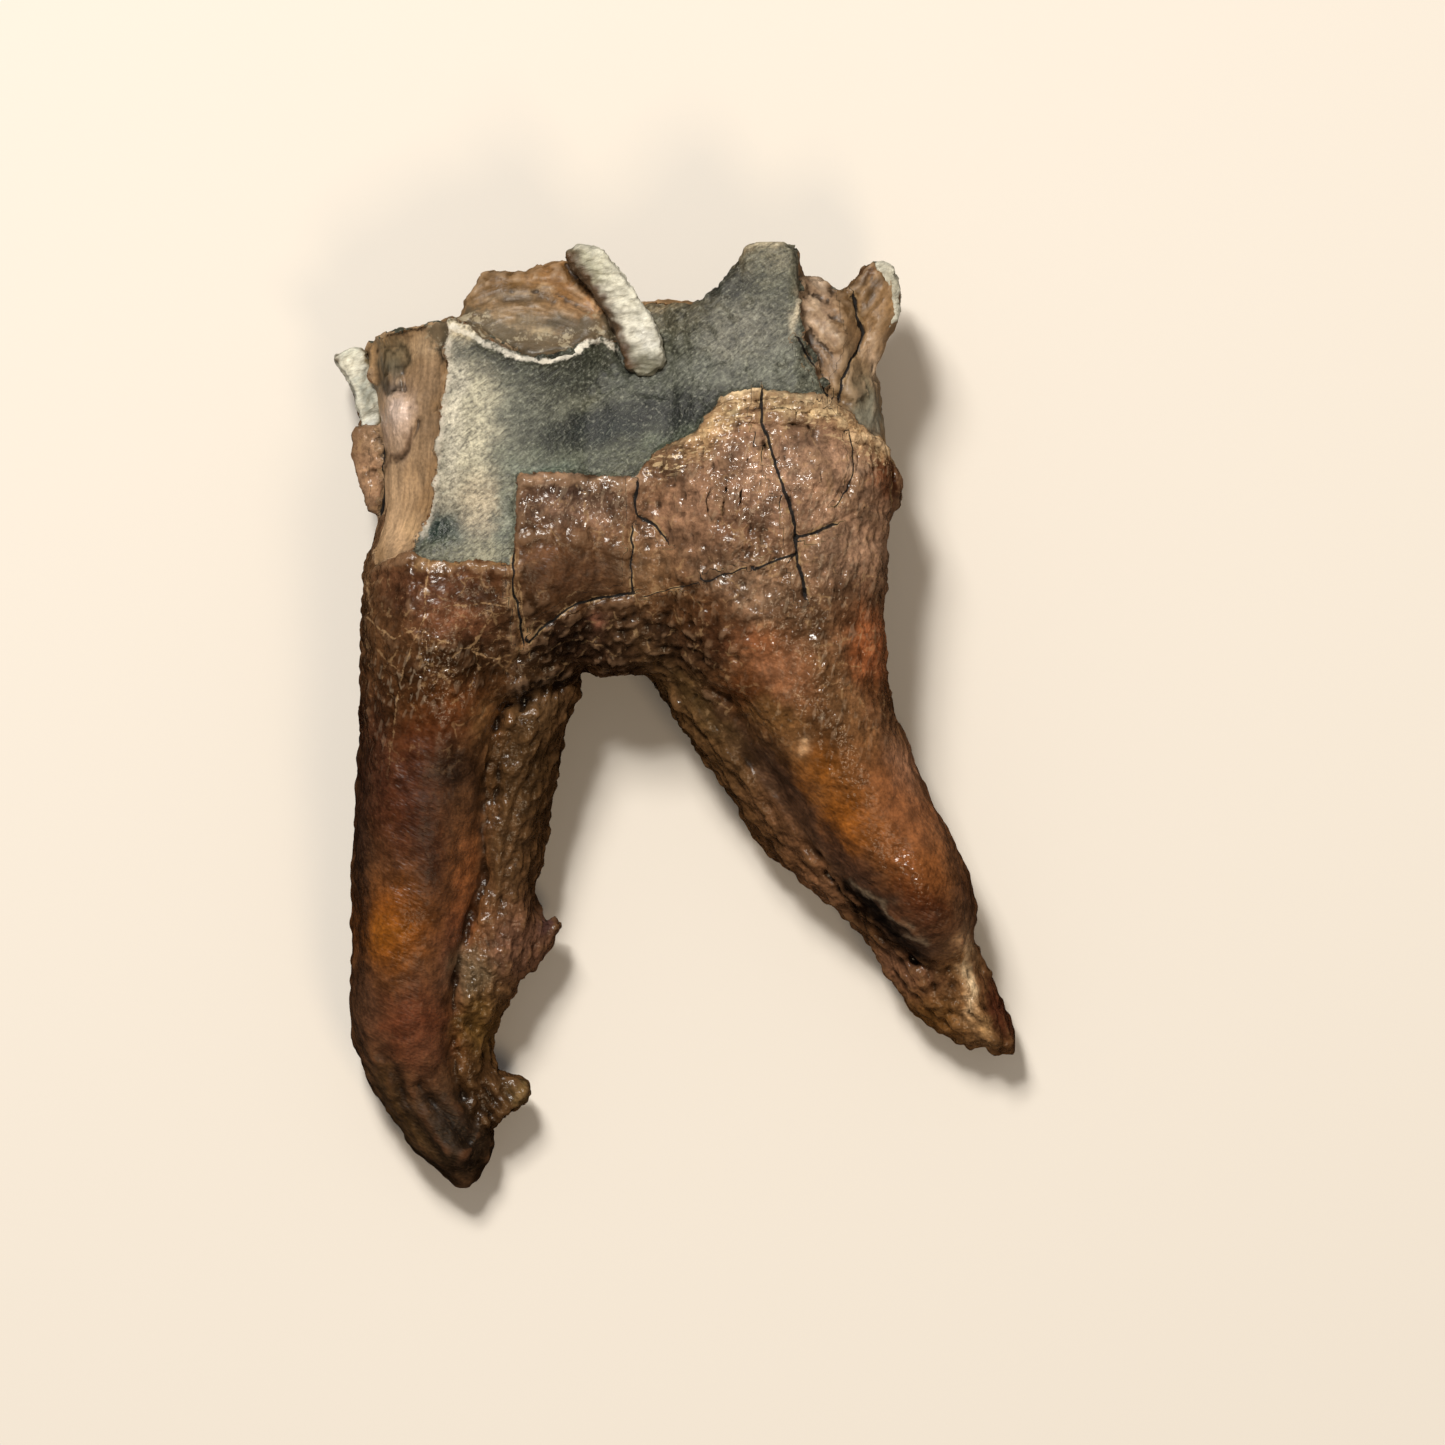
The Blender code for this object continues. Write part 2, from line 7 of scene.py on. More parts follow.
# %% Load the frame
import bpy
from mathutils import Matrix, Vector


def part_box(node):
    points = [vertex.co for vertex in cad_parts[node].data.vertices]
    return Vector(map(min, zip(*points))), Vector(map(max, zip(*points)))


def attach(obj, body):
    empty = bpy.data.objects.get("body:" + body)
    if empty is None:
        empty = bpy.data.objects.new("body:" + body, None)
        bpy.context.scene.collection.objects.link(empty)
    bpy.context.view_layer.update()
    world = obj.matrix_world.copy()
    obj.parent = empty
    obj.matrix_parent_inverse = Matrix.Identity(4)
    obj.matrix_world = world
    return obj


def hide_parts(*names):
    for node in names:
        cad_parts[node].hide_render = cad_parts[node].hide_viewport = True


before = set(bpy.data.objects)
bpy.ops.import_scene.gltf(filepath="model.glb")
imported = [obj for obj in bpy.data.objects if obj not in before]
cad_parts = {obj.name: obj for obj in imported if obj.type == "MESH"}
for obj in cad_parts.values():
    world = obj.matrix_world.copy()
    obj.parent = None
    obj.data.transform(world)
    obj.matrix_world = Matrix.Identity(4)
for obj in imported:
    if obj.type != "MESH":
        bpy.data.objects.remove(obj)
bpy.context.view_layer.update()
print("nodes of the frame:", sorted(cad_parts))

# %% [markdown]
# ## Units
# The shapes are thought out in millimetres, and turned to Blender's metres in one place.
# The reference picture has 8.5 pixels for each millimetre of the tooth, so a mark read from it
# in pixels is turned to millimetres by one function. The picture's x runs right, its y down.

# %% Units and the picture's scale
import math

import bmesh
import bpy
import numpy as np
from mathutils import Vector, noise

MM = 0.001
PICTURE_SIZE = 1445
PIXELS_PER_MM = 8.5
MIDDLE_PIXEL = (675.4, 718.2)


def picture_mm(pixels):
    """Pixels of the picture as x and y on the tooth, in millimetres."""
    pixels = np.asarray(pixels, float)
    across = (pixels[..., 0] - MIDDLE_PIXEL[0]) / PIXELS_PER_MM
    up = (MIDDLE_PIXEL[1] - pixels[..., 1]) / PIXELS_PER_MM
    return np.stack([across, up], axis=-1)


low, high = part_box("tooth")
print("the solid spans", [round(c / MM, 1) for c in low], "to", [round(c / MM, 1) for c in high])

# %% [markdown]
# ## The masses of the tooth
# A rhino's lower molar has two lobes side by side, and a root under each. Each root is itself two
# lobes: a smooth one towards the cheek and a rough one behind it. A sculptor would start from
# lumps of clay in those places, and so does this lesson: every lobe is a loft of level slices.
# The numbers are the same ones that the plain solid was made from, so that the two agree:
# (y, left edge x, right edge x, back z, front z) in millimetres, and how square the slices are.

# %% The lobes
LOBES = {
    "crown_left": (2.6, [
        (46.8, -35.4, -4.5, 2.6, 30.6), (43.0, -35.4, -4.0, 1.4, 30.8),
        (38.0, -35.2, -3.5, 0.2, 31.1), (30.0, -34.6, -2.5, -0.7, 31.5),
        (24.0, -34.8, -2.0, -0.6, 31.2), (18.5, -36.5, -3.0, 0.5, 31.6),
        (12.0, -36.9, -7.0, 1.5, 30.6), (7.0, -37.0, -11.5, 2.4, 28.8),
        (3.0, -36.8, -16.0, 4.0, 27.2), (0.0, -35.6, -20.0, 6.5, 25.0)]),
    "crown_right": (2.6, [
        (48.6, -3.6, 23.4, 2.8, 30.2), (43.0, -4.6, 23.3, 1.4, 30.8),
        (38.0, -6.0, 23.9, 0.3, 31.8), (33.0, -6.5, 24.6, -0.6, 32.8),
        (28.5, -7.0, 25.4, -0.8, 33.5), (22.0, -6.0, 24.7, -0.5, 33.5),
        (15.0, -4.0, 24.4, 0.6, 32.8), (9.0, -1.5, 24.2, 1.8, 31.6),
        (4.0, 3.0, 24.6, 2.6, 30.4)]),
    "crown_web": (2.6, [
        (47.0, -14.0, 6.0, 6.0, 25.6), (42.0, -16.0, 8.0, 4.0, 27.6),
        (36.0, -18.0, 10.0, 3.0, 30.2), (26.0, -18.0, 11.0, 2.0, 31.2),
        (16.0, -18.0, 9.0, 3.0, 29.6), (10.0, -16.0, 6.0, 4.5, 27.0),
        (7.0, -13.0, 1.5, 6.5, 24.0), (5.4, -9.5, -2.0, 10.0, 20.0)]),
    "left_root_front": (2.3, [
        (20.0, -35.8, -17.0, 2.0, 31.2), (11.6, -36.9, -18.0, 2.6, 31.0),
        (2.2, -37.2, -19.6, 3.0, 29.6), (-7.2, -37.7, -21.6, 2.6, 27.6),
        (-16.6, -38.2, -23.4, 1.6, 25.4), (-26.0, -38.4, -24.9, 0.4, 23.0),
        (-33.1, -38.6, -26.1, -0.6, 20.4), (-37.8, -38.3, -26.3, -0.8, 18.4),
        (-42.5, -36.8, -25.6, -0.5, 15.8), (-47.2, -34.2, -23.8, 0.8, 13.2),
        (-51.9, -30.8, -22.4, 2.5, 10.8), (-55.2, -27.4, -23.4, 4.4, 8.4),
        (-56.0, -26.2, -24.8, 5.6, 7.2)]),
    "left_root_rear": (2.3, [
        (10.0, -27.0, -11.5, 5.0, 26.4), (2.2, -28.0, -12.1, 4.0, 24.4),
        (-4.8, -29.0, -14.0, 3.2, 22.4), (-13.1, -30.0, -15.4, 2.2, 20.4),
        (-20.1, -31.0, -16.8, 1.4, 18.8), (-25.0, -31.0, -16.4, 1.0, 17.8),
        (-29.0, -31.0, -17.2, 0.8, 17.0), (-33.6, -31.5, -20.1, 0.4, 15.8),
        (-38.4, -32.0, -22.1, 0.4, 14.0), (-42.4, -32.0, -21.8, 0.6, 12.2),
        (-47.2, -30.5, -21.8, 1.6, 10.6), (-52.4, -27.8, -21.5, 3.2, 9.2),
        (-54.6, -26.0, -23.0, 4.6, 7.6)]),
    "right_root_front": (2.3, [
        (20.0, -3.5, 24.6, 1.2, 33.6), (9.3, 0.6, 24.3, 2.0, 32.0),
        (2.2, 5.6, 25.2, 2.6, 30.6), (-7.2, 11.0, 29.0, 2.6, 28.2),
        (-15.4, 15.6, 33.2, 2.2, 25.8), (-20.8, 19.6, 35.2, 1.8, 24.0),
        (-25.0, 23.6, 35.4, 2.0, 22.0), (-28.0, 27.4, 34.6, 3.2, 18.8),
        (-29.4, 29.8, 33.0, 6.0, 15.0)]),
    "right_root_rear": (2.3, [
        (7.0, -3.8, 12.0, 6.0, 24.5), (2.2, -1.2, 16.0, 4.2, 23.6),
        (-1.9, 1.5, 19.0, 3.4, 22.4), (-7.2, 5.0, 22.0, 2.6, 20.8),
        (-14.2, 9.8, 26.5, 1.6, 18.8), (-18.9, 14.4, 30.0, 0.8, 17.4),
        (-21.9, 18.6, 32.4, 0.2, 16.4), (-26.6, 22.7, 35.4, -0.5, 15.4),
        (-30.0, 25.2, 36.8, -0.8, 14.6), (-33.1, 26.6, 38.4, -0.8, 13.6),
        (-35.6, 29.2, 39.4, -0.4, 12.4), (-37.9, 32.4, 40.2, 0.8, 10.6),
        (-39.3, 36.6, 39.8, 3.4, 8.4)]),
}
print(len(LOBES), "lobes")

# %% [markdown]
# The crown is broken, and its walls stand up as plates of their own: an outline, a back and a
# front depth, and how far the front leans towards the viewer per millimetre right and up.

# %% The broken walls
PLATES = {
    "left_dentine": (
        [(-25.4, 38.0), (-25.2, 44.6), (-24.5, 49.8), (-22.6, 52.3), (-17.2, 52.6),
         (-13.7, 53.9), (-11.2, 53.6), (-7.2, 48.5), (-4.4, 43.5), (-4.0, 38.0)],
        9.0, 27.4, (0.0, -0.1)),
    "left_column_top": (
        [(-36.2, 40.0), (-36.3, 44.0), (-35.0, 45.4), (-30.0, 46.2), (-27.0, 47.2),
         (-25.0, 47.2), (-24.6, 40.0)],
        6.0, 23.0, (0.6, 0.0)),
    "groove_wall": (
        [(-6.0, 36.0), (-5.6, 47.0), (-4.2, 48.9), (3.0, 48.9), (4.4, 49.8), (4.4, 36.0)],
        14.0, 26.4, (0.3, -0.15)),
    "spire": (
        [(2.8, 36.0), (2.8, 48.9), (4.2, 49.8), (6.4, 52.4), (8.6, 55.9), (12.4, 56.0),
         (14.3, 55.2), (14.6, 36.0)],
        21.5, 30.0, (0.2, -0.05)),
    "right_block": (
        [(12.0, 38.0), (12.6, 49.0), (14.6, 49.4), (15.2, 51.4), (17.5, 51.6), (18.7, 50.4),
         (20.4, 49.2), (21.5, 38.0)],
        9.0, 26.4, (-0.15, 0.0)),
    "horn": (
        [(19.6, 36.0), (20.0, 49.0), (20.6, 51.2), (22.8, 53.9), (25.1, 53.2), (26.3, 50.4),
         (26.1, 46.9), (24.6, 44.6), (23.1, 41.0), (23.9, 36.0)],
        11.0, 25.0, (-0.2, 0.0)),
    "flake_bed": (
        [(-38.6, 42.4), (-37.3, 42.4), (-36.6, 40.0), (-34.4, 38.6), (-34.0, 34.0),
         (-36.2, 33.4), (-37.0, 36.0), (-37.8, 39.6)],
        7.0, 13.5, (0.0, 0.0)),
    "cracked_wedge": (
        [(-37.9, 34.2), (-36.0, 34.0), (-33.6, 32.0), (-33.6, 22.6), (-34.9, 23.6),
         (-36.4, 25.8), (-37.5, 29.8)],
        7.0, 18.0, (0.0, 0.0)),
    "spur": (
        [(-19.0, -19.0), (-16.6, -23.6), (-14.2, -24.9), (-15.2, -27.2), (-17.0, -29.4),
         (-21.0, -29.0)],
        5.0, 11.5, (0.0, 0.0)),
    "hook": (
        [(-23.4, -41.2), (-20.4, -42.1), (-18.1, -42.7), (-17.3, -44.2), (-17.9, -45.8),
         (-20.0, -46.6), (-22.6, -48.6), (-24.6, -47.0)],
        4.0, 9.6, (0.0, 0.0)),
    "cervix_bump": (
        [(22.0, 31.2), (24.6, 30.6), (26.0, 29.2), (26.3, 27.6), (25.8, 25.8), (24.6, 24.4),
         (22.0, 23.6)],
        12.0, 20.0, (0.0, 0.0)),
}
print(len(PLATES), "plates")

# %% [markdown]
# ## From slices to a lobe
# A slice starts as a round ring from `create_circle`, and is pressed into a rounded box by raising
# its sines and cosines to a power. Neighbouring rings are joined by `bridge_loops`, and
# `holes_fill` closes the two ends. More slices are read from a smooth curve through the given ones,
# so that the lobe has no kinks.

# %% Make a lobe
RING_SIDES = 40
SLICE_STEP = 1.6


def slices_between(given):
    """More slices along a smooth curve through the given ones."""
    slices = []
    for i in range(len(given) - 1):
        here, after = given[i], given[i + 1]
        before, beyond = given[max(i - 1, 0)], given[min(i + 2, len(given) - 1)]
        count = max(1, round(abs(here[0] - after[0]) / SLICE_STEP))
        for t in np.arange(count) / count:
            slices.append([
                0.5 * (2 * b + (c - a) * t + (2 * a - 5 * b + 4 * c - d) * t ** 2
                       + (3 * b - a - 3 * c + d) * t ** 3)
                for a, b, c, d in zip(before, here, after, beyond)])
    return slices + [given[-1]]


def add_lobe(bm, squareness, given):
    """One closed lobe: rounded rings, bridged and capped."""
    loops = []
    for y, left, right, back, front in slices_between(given):
        ring = bmesh.ops.create_circle(bm, segments=RING_SIDES, radius=1.0)["verts"]
        half_wide, half_deep = (right - left) / 2, (front - back) / 2
        for vert in ring:
            across = math.copysign(abs(vert.co.x) ** (2 / squareness), vert.co.x)
            deep = math.copysign(abs(vert.co.y) ** (2 / squareness), vert.co.y)
            vert.co = Vector(((left + right) / 2 + half_wide * across, y,
                              (back + front) / 2 + half_deep * deep)) * MM
        loops.append(list({edge for vert in ring for edge in vert.link_edges}))
    walls = []
    for upper, lower in zip(loops, loops[1:]):
        walls += bmesh.ops.bridge_loops(bm, edges=upper + lower)["faces"]
    walls += bmesh.ops.holes_fill(bm, edges=loops[0] + loops[-1], sides=0)["faces"]
    bmesh.ops.recalc_face_normals(bm, faces=walls)


def add_plate(bm, outline, back, front, lean=(0.0, 0.0)):
    """A wall: the outline pushed from its back to its front depth."""
    middle = np.mean(outline, axis=0)
    rear = bm.faces.new([bm.verts.new(Vector((x, y, back)) * MM) for x, y in outline])
    grown = bmesh.ops.extrude_face_region(bm, geom=[rear], use_keep_orig=True)["geom"]
    for vert in [item for item in grown if isinstance(item, bmesh.types.BMVert)]:
        rise = lean[0] * (vert.co.x / MM - middle[0]) + lean[1] * (vert.co.y / MM - middle[1])
        vert.co.z = (front + rise) * MM
    faces = {face for item in grown for face in getattr(item, "link_faces", [])}
    bmesh.ops.recalc_face_normals(bm, faces=list(faces | {rear}))


def new_piece(name, bm):
    """Turns a finished bmesh into an object of the scene."""
    mesh = bpy.data.meshes.new(name)
    bm.to_mesh(mesh)
    bm.free()
    piece = bpy.data.objects.new(name, mesh)
    bpy.context.scene.collection.objects.link(piece)
    return piece


masses = bmesh.new()
for squareness, given in LOBES.values():
    add_lobe(masses, squareness, given)
for outline, back, front, lean in PLATES.values():
    add_plate(masses, outline, back, front, lean)
skin = new_piece("tooth_surface", masses)
print("overlapping masses:", len(skin.data.vertices), "vertices")

# %% [markdown]
# ## What is broken or worn away
# Two valleys of the chewing surface open to the tongue side, the soft dentine in front of each is
# worn hollow, and some of the cheek side's enamel has broken off. These are shapes to cut out with
# Boolean modifiers. A cut made on a fine mesh is slow, so the cuts are made on a coarse one.

# %% The cutting shapes
CARVED = {
    "left_valley": [
        (58.0, -24.0, -11.0, -6.0, 13.0), (48.0, -23.0, -12.0, -6.0, 12.0),
        (40.0, -21.5, -13.5, -5.0, 10.0), (33.0, -20.0, -15.0, -4.0, 6.0),
        (28.0, -18.5, -16.5, -3.0, 1.5)],
    "right_valley": [
        (58.0, 1.0, 13.5, -6.0, 12.5), (48.0, 2.0, 13.0, -6.0, 12.0),
        (41.0, 4.0, 12.0, -5.0, 10.0), (34.0, 5.5, 10.5, -4.0, 5.0),
        (29.0, 7.0, 9.0, -3.0, 1.2)],
    "left_hollow": [
        (60.0, -31.5, -9.0, 14.0, 22.0), (47.0, -30.5, -10.0, 14.5, 21.5),
        (43.0, -27.0, -14.0, 16.0, 20.0), (42.0, -24.0, -17.0, 17.0, 19.0)],
    "right_hollow": [
        (60.0, -1.0, 20.0, 14.0, 21.0), (49.0, 0.0, 19.0, 14.5, 20.5),
        (44.5, 3.0, 16.0, 16.0, 19.5), (43.0, 6.0, 13.0, 17.0, 19.0)],
}
BROKEN = {
    "left_corner": (
        [(-42.0, 43.2), (-36.6, 44.1), (-34.3, 45.2), (-30.0, 46.0), (-25.0, 47.2),
         (-25.0, 60.0), (-42.0, 60.0)], -5.0),
    "left_break": (
        [(-45.0, 46.6), (-27.6, 47.4), (-25.2, 46.4), (-23.1, 45.8), (-20.8, 44.0),
         (-17.2, 42.5), (-15.1, 42.2), (-11.9, 42.8), (-10.2, 44.6), (-7.2, 45.2),
         (-4.6, 43.4), (-4.6, 60.0), (-45.0, 60.0)], 28.2),
    "right_break": (
        [(14.5, 60.0), (14.5, 44.6), (16.2, 41.4), (17.8, 37.6), (20.4, 35.6), (30.0, 34.0),
         (30.0, 60.0)], 27.4),
}
CLEAR_OF_TOOTH = 50.0
ROUND = 2.3

cutters = []
for name, given in CARVED.items():
    shape = bmesh.new()
    add_lobe(shape, ROUND, given)
    cutters.append(new_piece(name, shape))
for name, (outline, depth_left) in BROKEN.items():
    shape = bmesh.new()
    add_plate(shape, outline, depth_left, CLEAR_OF_TOOTH)
    cutters.append(new_piece(name, shape))
print("cutting shapes:", [cutter.name for cutter in cutters])

# %% [markdown]
# ## One skin
# The voxel Remesh modifier turns overlapping lumps into one closed skin of small even squares. It
# runs twice: coarse before the cuts, with a smoothing that wipes out its steps, and fine after
# them, with a voxel of 0.4 mm.

# %% Fuse, cut and refine
COARSE_VOXEL = 0.8
FINE_VOXEL = 0.4


def apply_modifiers(piece):
    """Replaces a piece's mesh by what its modifiers make of it."""
    bpy.context.view_layer.update()
    graph = bpy.context.evaluated_depsgraph_get()
    finished = bpy.data.meshes.new_from_object(piece.evaluated_get(graph))
    piece.modifiers.clear()
    plain = piece.data
    piece.data = finished
    bpy.data.meshes.remove(plain)
    finished.name = piece.name


def add_modifier(piece, kind, **settings):
    modifier = piece.modifiers.new(kind.lower(), kind)
    for name, value in settings.items():
        setattr(modifier, name, value)


add_modifier(skin, "REMESH", mode="VOXEL", voxel_size=COARSE_VOXEL * MM)
add_modifier(skin, "SMOOTH", factor=0.5, iterations=5)
for cutter in cutters:
    add_modifier(skin, "BOOLEAN", operation="DIFFERENCE", solver="EXACT", object=cutter)
add_modifier(skin, "REMESH", mode="VOXEL", voxel_size=FINE_VOXEL * MM)
add_modifier(skin, "SMOOTH", factor=0.5, iterations=2)
apply_modifiers(skin)
for cutter in cutters:
    bpy.data.objects.remove(cutter)
print("one skin:", len(skin.data.vertices), "vertices,", len(skin.data.polygons), "squares")

# %% [markdown]
# ## Sculpting by numbers
# From here the skin is clay: its vertices are moved, but none is added or taken away. All places
# are held in one table, in millimetres. A few helpers measure how far each vertex is from a
# line or an outline drawn on the picture, and read smooth random fields at a chosen size. Each
# field has its own seed, a number that moves it to a fresh part of the endless noise.

# %% Sculpting helpers
CENTRING = (0.126, -0.094)
NOISE_GAIN = 1.6
SEED_STEP = (3.7, 9.1, 5.3)


def read_vectors(rows, what):
    """One vector of each row, such as the place or the normal of each vertex, as a table."""
    flat = np.empty(len(rows) * 3)
    rows.foreach_get(what, flat)
    return flat.reshape(-1, 3)


def write_places(piece, places):
    piece.data.vertices.foreach_set("co", (places * MM).ravel())
    piece.data.update()


def smooth_step(value):
    """0 below 0 and 1 above 1, with a soft rise between."""
    value = np.clip(value, 0.0, 1.0)
    return value * value * (3.0 - 2.0 * value)


def signed_line_distance(line, spots, closed=False):
    """Distance in mm to a line on the picture, above zero on one side, below on the other."""
    starts = picture_mm(line)
    ends = np.roll(starts, -1, axis=0)
    if not closed:
        starts, ends = starts[:-1], ends[:-1]
    nearest = np.full(len(spots), 1e9)
    for start, end in zip(starts, ends):
        run = end - start
        share = np.clip(((spots - start) @ run) / (run @ run), 0.0, 1.0)
        gap = spots - start - share[:, None] * run
        left = np.where(run[0] * gap[:, 1] - run[1] * gap[:, 0] < 0.0, -1.0, 1.0)
        distance = np.hypot(gap[:, 0], gap[:, 1])
        nearest = np.where(distance < np.abs(nearest), distance * left, nearest)
    return nearest


def line_distance(line, spots, closed=False):
    return np.abs(signed_line_distance(line, spots, closed))


def inside_distance(outline, spots):
    """Distance in mm to an outline on the picture, above zero inside and below outside."""
    starts = picture_mm(outline)
    ends = np.roll(starts, -1, axis=0)
    within = np.zeros(len(spots), bool)
    for (ax, ay), (bx, by) in zip(starts, ends):
        if ay == by:
            continue
        crosses = (ay > spots[:, 1]) != (by > spots[:, 1])
        at = ax + (spots[:, 1] - ay) * (bx - ax) / (by - ay)
        within ^= crosses & (spots[:, 0] < at)
    gap = line_distance(outline, spots, closed=True)
    return np.where(within, gap, -gap)


def field(places, size, seed):
    """Smooth random heights, about -1 to 1, with lumps of the given size in millimetres."""
    shifted = places / np.asarray(size) + np.array(SEED_STEP) * seed
    return np.array([noise.noise(Vector(place)) for place in shifted]) * NOISE_GAIN


def fields(places, *layers):
    """A sum of fields. Each layer has a height, the size of its lumps and a seed."""
    return sum(height * field(places, size, seed) for height, size, seed in layers)


def sideways(places, *layers):
    """A random shift to the right and up for each place, which makes drawn lines waver."""
    upward = [(reach, size, seed + 1) for reach, size, seed in layers]
    return np.stack([fields(places, *layers), fields(places, *upward)], axis=1)


def spot_share(spots, middle, reach, turn):
    """1 at the middle of an oval spot, a half at its reach, soft beyond."""
    gap = spots - picture_mm(middle)
    c, s = math.cos(math.radians(turn)), math.sin(math.radians(turn))
    u = (gap[:, 0] * c + gap[:, 1] * s) / (reach[0] / PIXELS_PER_MM)
    v = (gap[:, 1] * c - gap[:, 0] * s) / (reach[1] / PIXELS_PER_MM)
    return 1.0 / (1.0 + (u * u + v * v) ** 2)


places = read_vectors(skin.data.vertices, "co") / MM
places[:, :2] += CENTRING
write_places(skin, places)
normals = read_vectors(skin.data.vertices, "normal")
print("skin spans", places.min(axis=0).round(1), "to", places.max(axis=0).round(1))

# %% [markdown]
# ## The regions of the cheek side
# Bare grey enamel, broken brown dentine and dark cement meet along sharp lines. Each region is an
# outline on the picture, and neighbours share the line between them. What matters later is each
# vertex's distance to those lines, because a distance blends well between vertices, and a line
# drawn from it stays sharp at any size.

# %% Region outlines
UNDER_LEFT_BREAK = [
    (450, 322), (462, 326), (473, 331), (488, 343), (511, 352), (534, 358), (550, 360),
    (569, 354), (584, 345), (603, 339), (618, 346), (632, 352)]
UNDER_RIGHT_BREAK = [(799, 341), (814, 364), (827, 398)]
BESIDE_COLUMN = [
    (423, 535), (431, 515), (435, 500), (439, 460), (442, 420), (447, 385), (449, 356)]
ENAMEL_FACE = [
    *UNDER_LEFT_BREAK, (640, 300), (706, 300), (714, 290), (726, 275), (745, 245), (753, 238),
    (785, 238), (802, 246), *UNDER_RIGHT_BREAK, (806, 395), (760, 393), (735, 396), (718, 402),
    (710, 418), (697, 433), (676, 442), (653, 456), (636, 477), (600, 477), (560, 474),
    (518, 474), (517, 500), (517, 536), (513, 564), (480, 560), (452, 563), (430, 561),
    (416, 553), *BESIDE_COLUMN]
LEFT_COLUMN = [
    (450, 318), *reversed(BESIDE_COLUMN), (415, 553), (400, 558), (378, 568), (376, 540),
    (380, 510), (384, 460), (378, 440), (377, 400), (372, 372), (364, 345), (366, 300),
    (450, 300)]
LEFT_BREAK = [*UNDER_LEFT_BREAK, (620, 240), (450, 240)]
RIGHT_BREAK = [
    (799, 230), *UNDER_RIGHT_BREAK, (848, 417), (866, 436), (884, 441), (920, 441), (920, 230)]
ROUGH_LEFT = [
    (504, 701), (512, 697), (537, 688), (567, 677), (588, 680), (577, 760), (566, 830),
    (552, 890), (556, 915), (580, 935), (545, 978), (515, 1010), (500, 1045), (505, 1072),
    (545, 1085), (545, 1115), (505, 1155), (478, 1130), (462, 1108), (451, 1077), (448, 1046),
    (449, 1008), (455, 967), (463, 932), (476, 892), (484, 837), (482, 790), (478, 765),
    (494, 728)]
ROUGH_RIGHT = [
    (650, 688), (668, 690), (689, 703), (747, 764), (777, 805), (835, 873), (853, 893),
    (879, 923), (917, 958), (955, 962), (982, 935), (1012, 1000), (1040, 1065), (935, 1060),
    (875, 1010), (860, 955), (805, 905), (745, 850), (685, 765), (645, 705)]

FACING_FROM = 0.05
DEPTH_FROM = 7.0

spots = places[:, :2]
to_face = inside_distance(ENAMEL_FACE, spots)
to_column = inside_distance(LEFT_COLUMN, spots)
to_left_break = inside_distance(LEFT_BREAK, spots)
to_right_break = inside_distance(RIGHT_BREAK, spots)
to_rough = np.maximum(inside_distance(ROUGH_LEFT, spots), inside_distance(ROUGH_RIGHT, spots))
to_break = np.maximum(to_left_break, to_right_break)
to_dentine = np.maximum(to_column, to_break)
facing = smooth_step((normals[:, 2] - FACING_FROM) / 0.4)
cheek_side = facing * smooth_step((places[:, 2] - DEPTH_FROM) / 4.0)
print("vertices on the enamel face:", int((to_face > 0).sum()))

# %% [markdown]
# ## Broad forms
# The lobes swell at the neck of the tooth and sink above the arch, and the broken left wall falls
# back from the enamel's ridge. A swelling is a round hill: x, y, reach and height in millimetres.
# The remesh rounded the sharpest corners off, so each of those is pulled out again: its place on
# the picture, its reach and how far it moves across the picture, in millimetres.

# %% Swellings
SWELLINGS = [
    (9.8, 31.6, 9.0, 0.9), (-10.5, 18.0, 8.0, 0.7), (-30.0, 12.0, 6.0, 0.6),
    (31.0, -21.0, 6.0, 1.0), (-12.0, 36.0, 7.0, -0.7), (-3.5, 24.0, 5.0, -1.2),
    (-19.0, 8.0, 5.0, -1.8), (-6.0, 11.0, 8.0, -1.6), (-29.5, -44.0, 4.0, -1.0),
    (35.0, -31.5, 4.0, -0.8), (-32.6, 35.4, 2.4, 1.2), (-32.0, 32.6, 2.0, 0.6),
    (-33.2, 41.0, 2.2, -0.7), (25.4, 29.2, 2.4, 0.8), (23.0, 7.5, 3.0, 0.5)]
CORNERS = [
    ((432, 1178), 2.4, (0.3, 0.4)), ((488, 1166), 2.2, (-0.5, 0.3)),
    ((553, 927), 1.1, (0.8, 0.4)), ((1008, 1044), 1.3, (0.5, -0.6)),
    ((343, 318), 1.2, (-0.4, 0.5)), ((372, 322), 1.2, (0.0, 0.4)), ((466, 266), 1.2, (-0.4, 0.4)),
    ((480, 252), 1.2, (-0.3, 0.5)), ((815, 278), 1.0, (0.0, 0.4)), ((893, 508), 1.5, (0.4, 0.0))]
COLUMN_FALL = 0.5
COLUMN_WIDTH = 8.0

rise = np.zeros(len(places))
for x, y, reach, height in SWELLINGS:
    rise += height * np.exp(-((spots[:, 0] - x) ** 2 + (spots[:, 1] - y) ** 2) / reach ** 2)
rise -= COLUMN_FALL * np.clip(to_column, 0.0, COLUMN_WIDTH)
places[:, 2] += rise * cheek_side
for middle, reach, pull in CORNERS:
    gap = np.linalg.norm(spots - picture_mm(middle), axis=1) / reach
    places[:, :2] += np.exp(-gap ** 2)[:, None] * np.array(pull)
print("broad forms move the skin by", rise.min().round(2), "to", rise.max().round(2), "mm")

# %% [markdown]
# ## Ridges and grooves
# Most of what the eye reads on a fossil is long and thin: the fold between the two lobes of a
# root, the layered lip of the cement, the rims and channels at a root's tip. Each is a line on the
# picture with a half width and a height in millimetres, below zero for a groove.

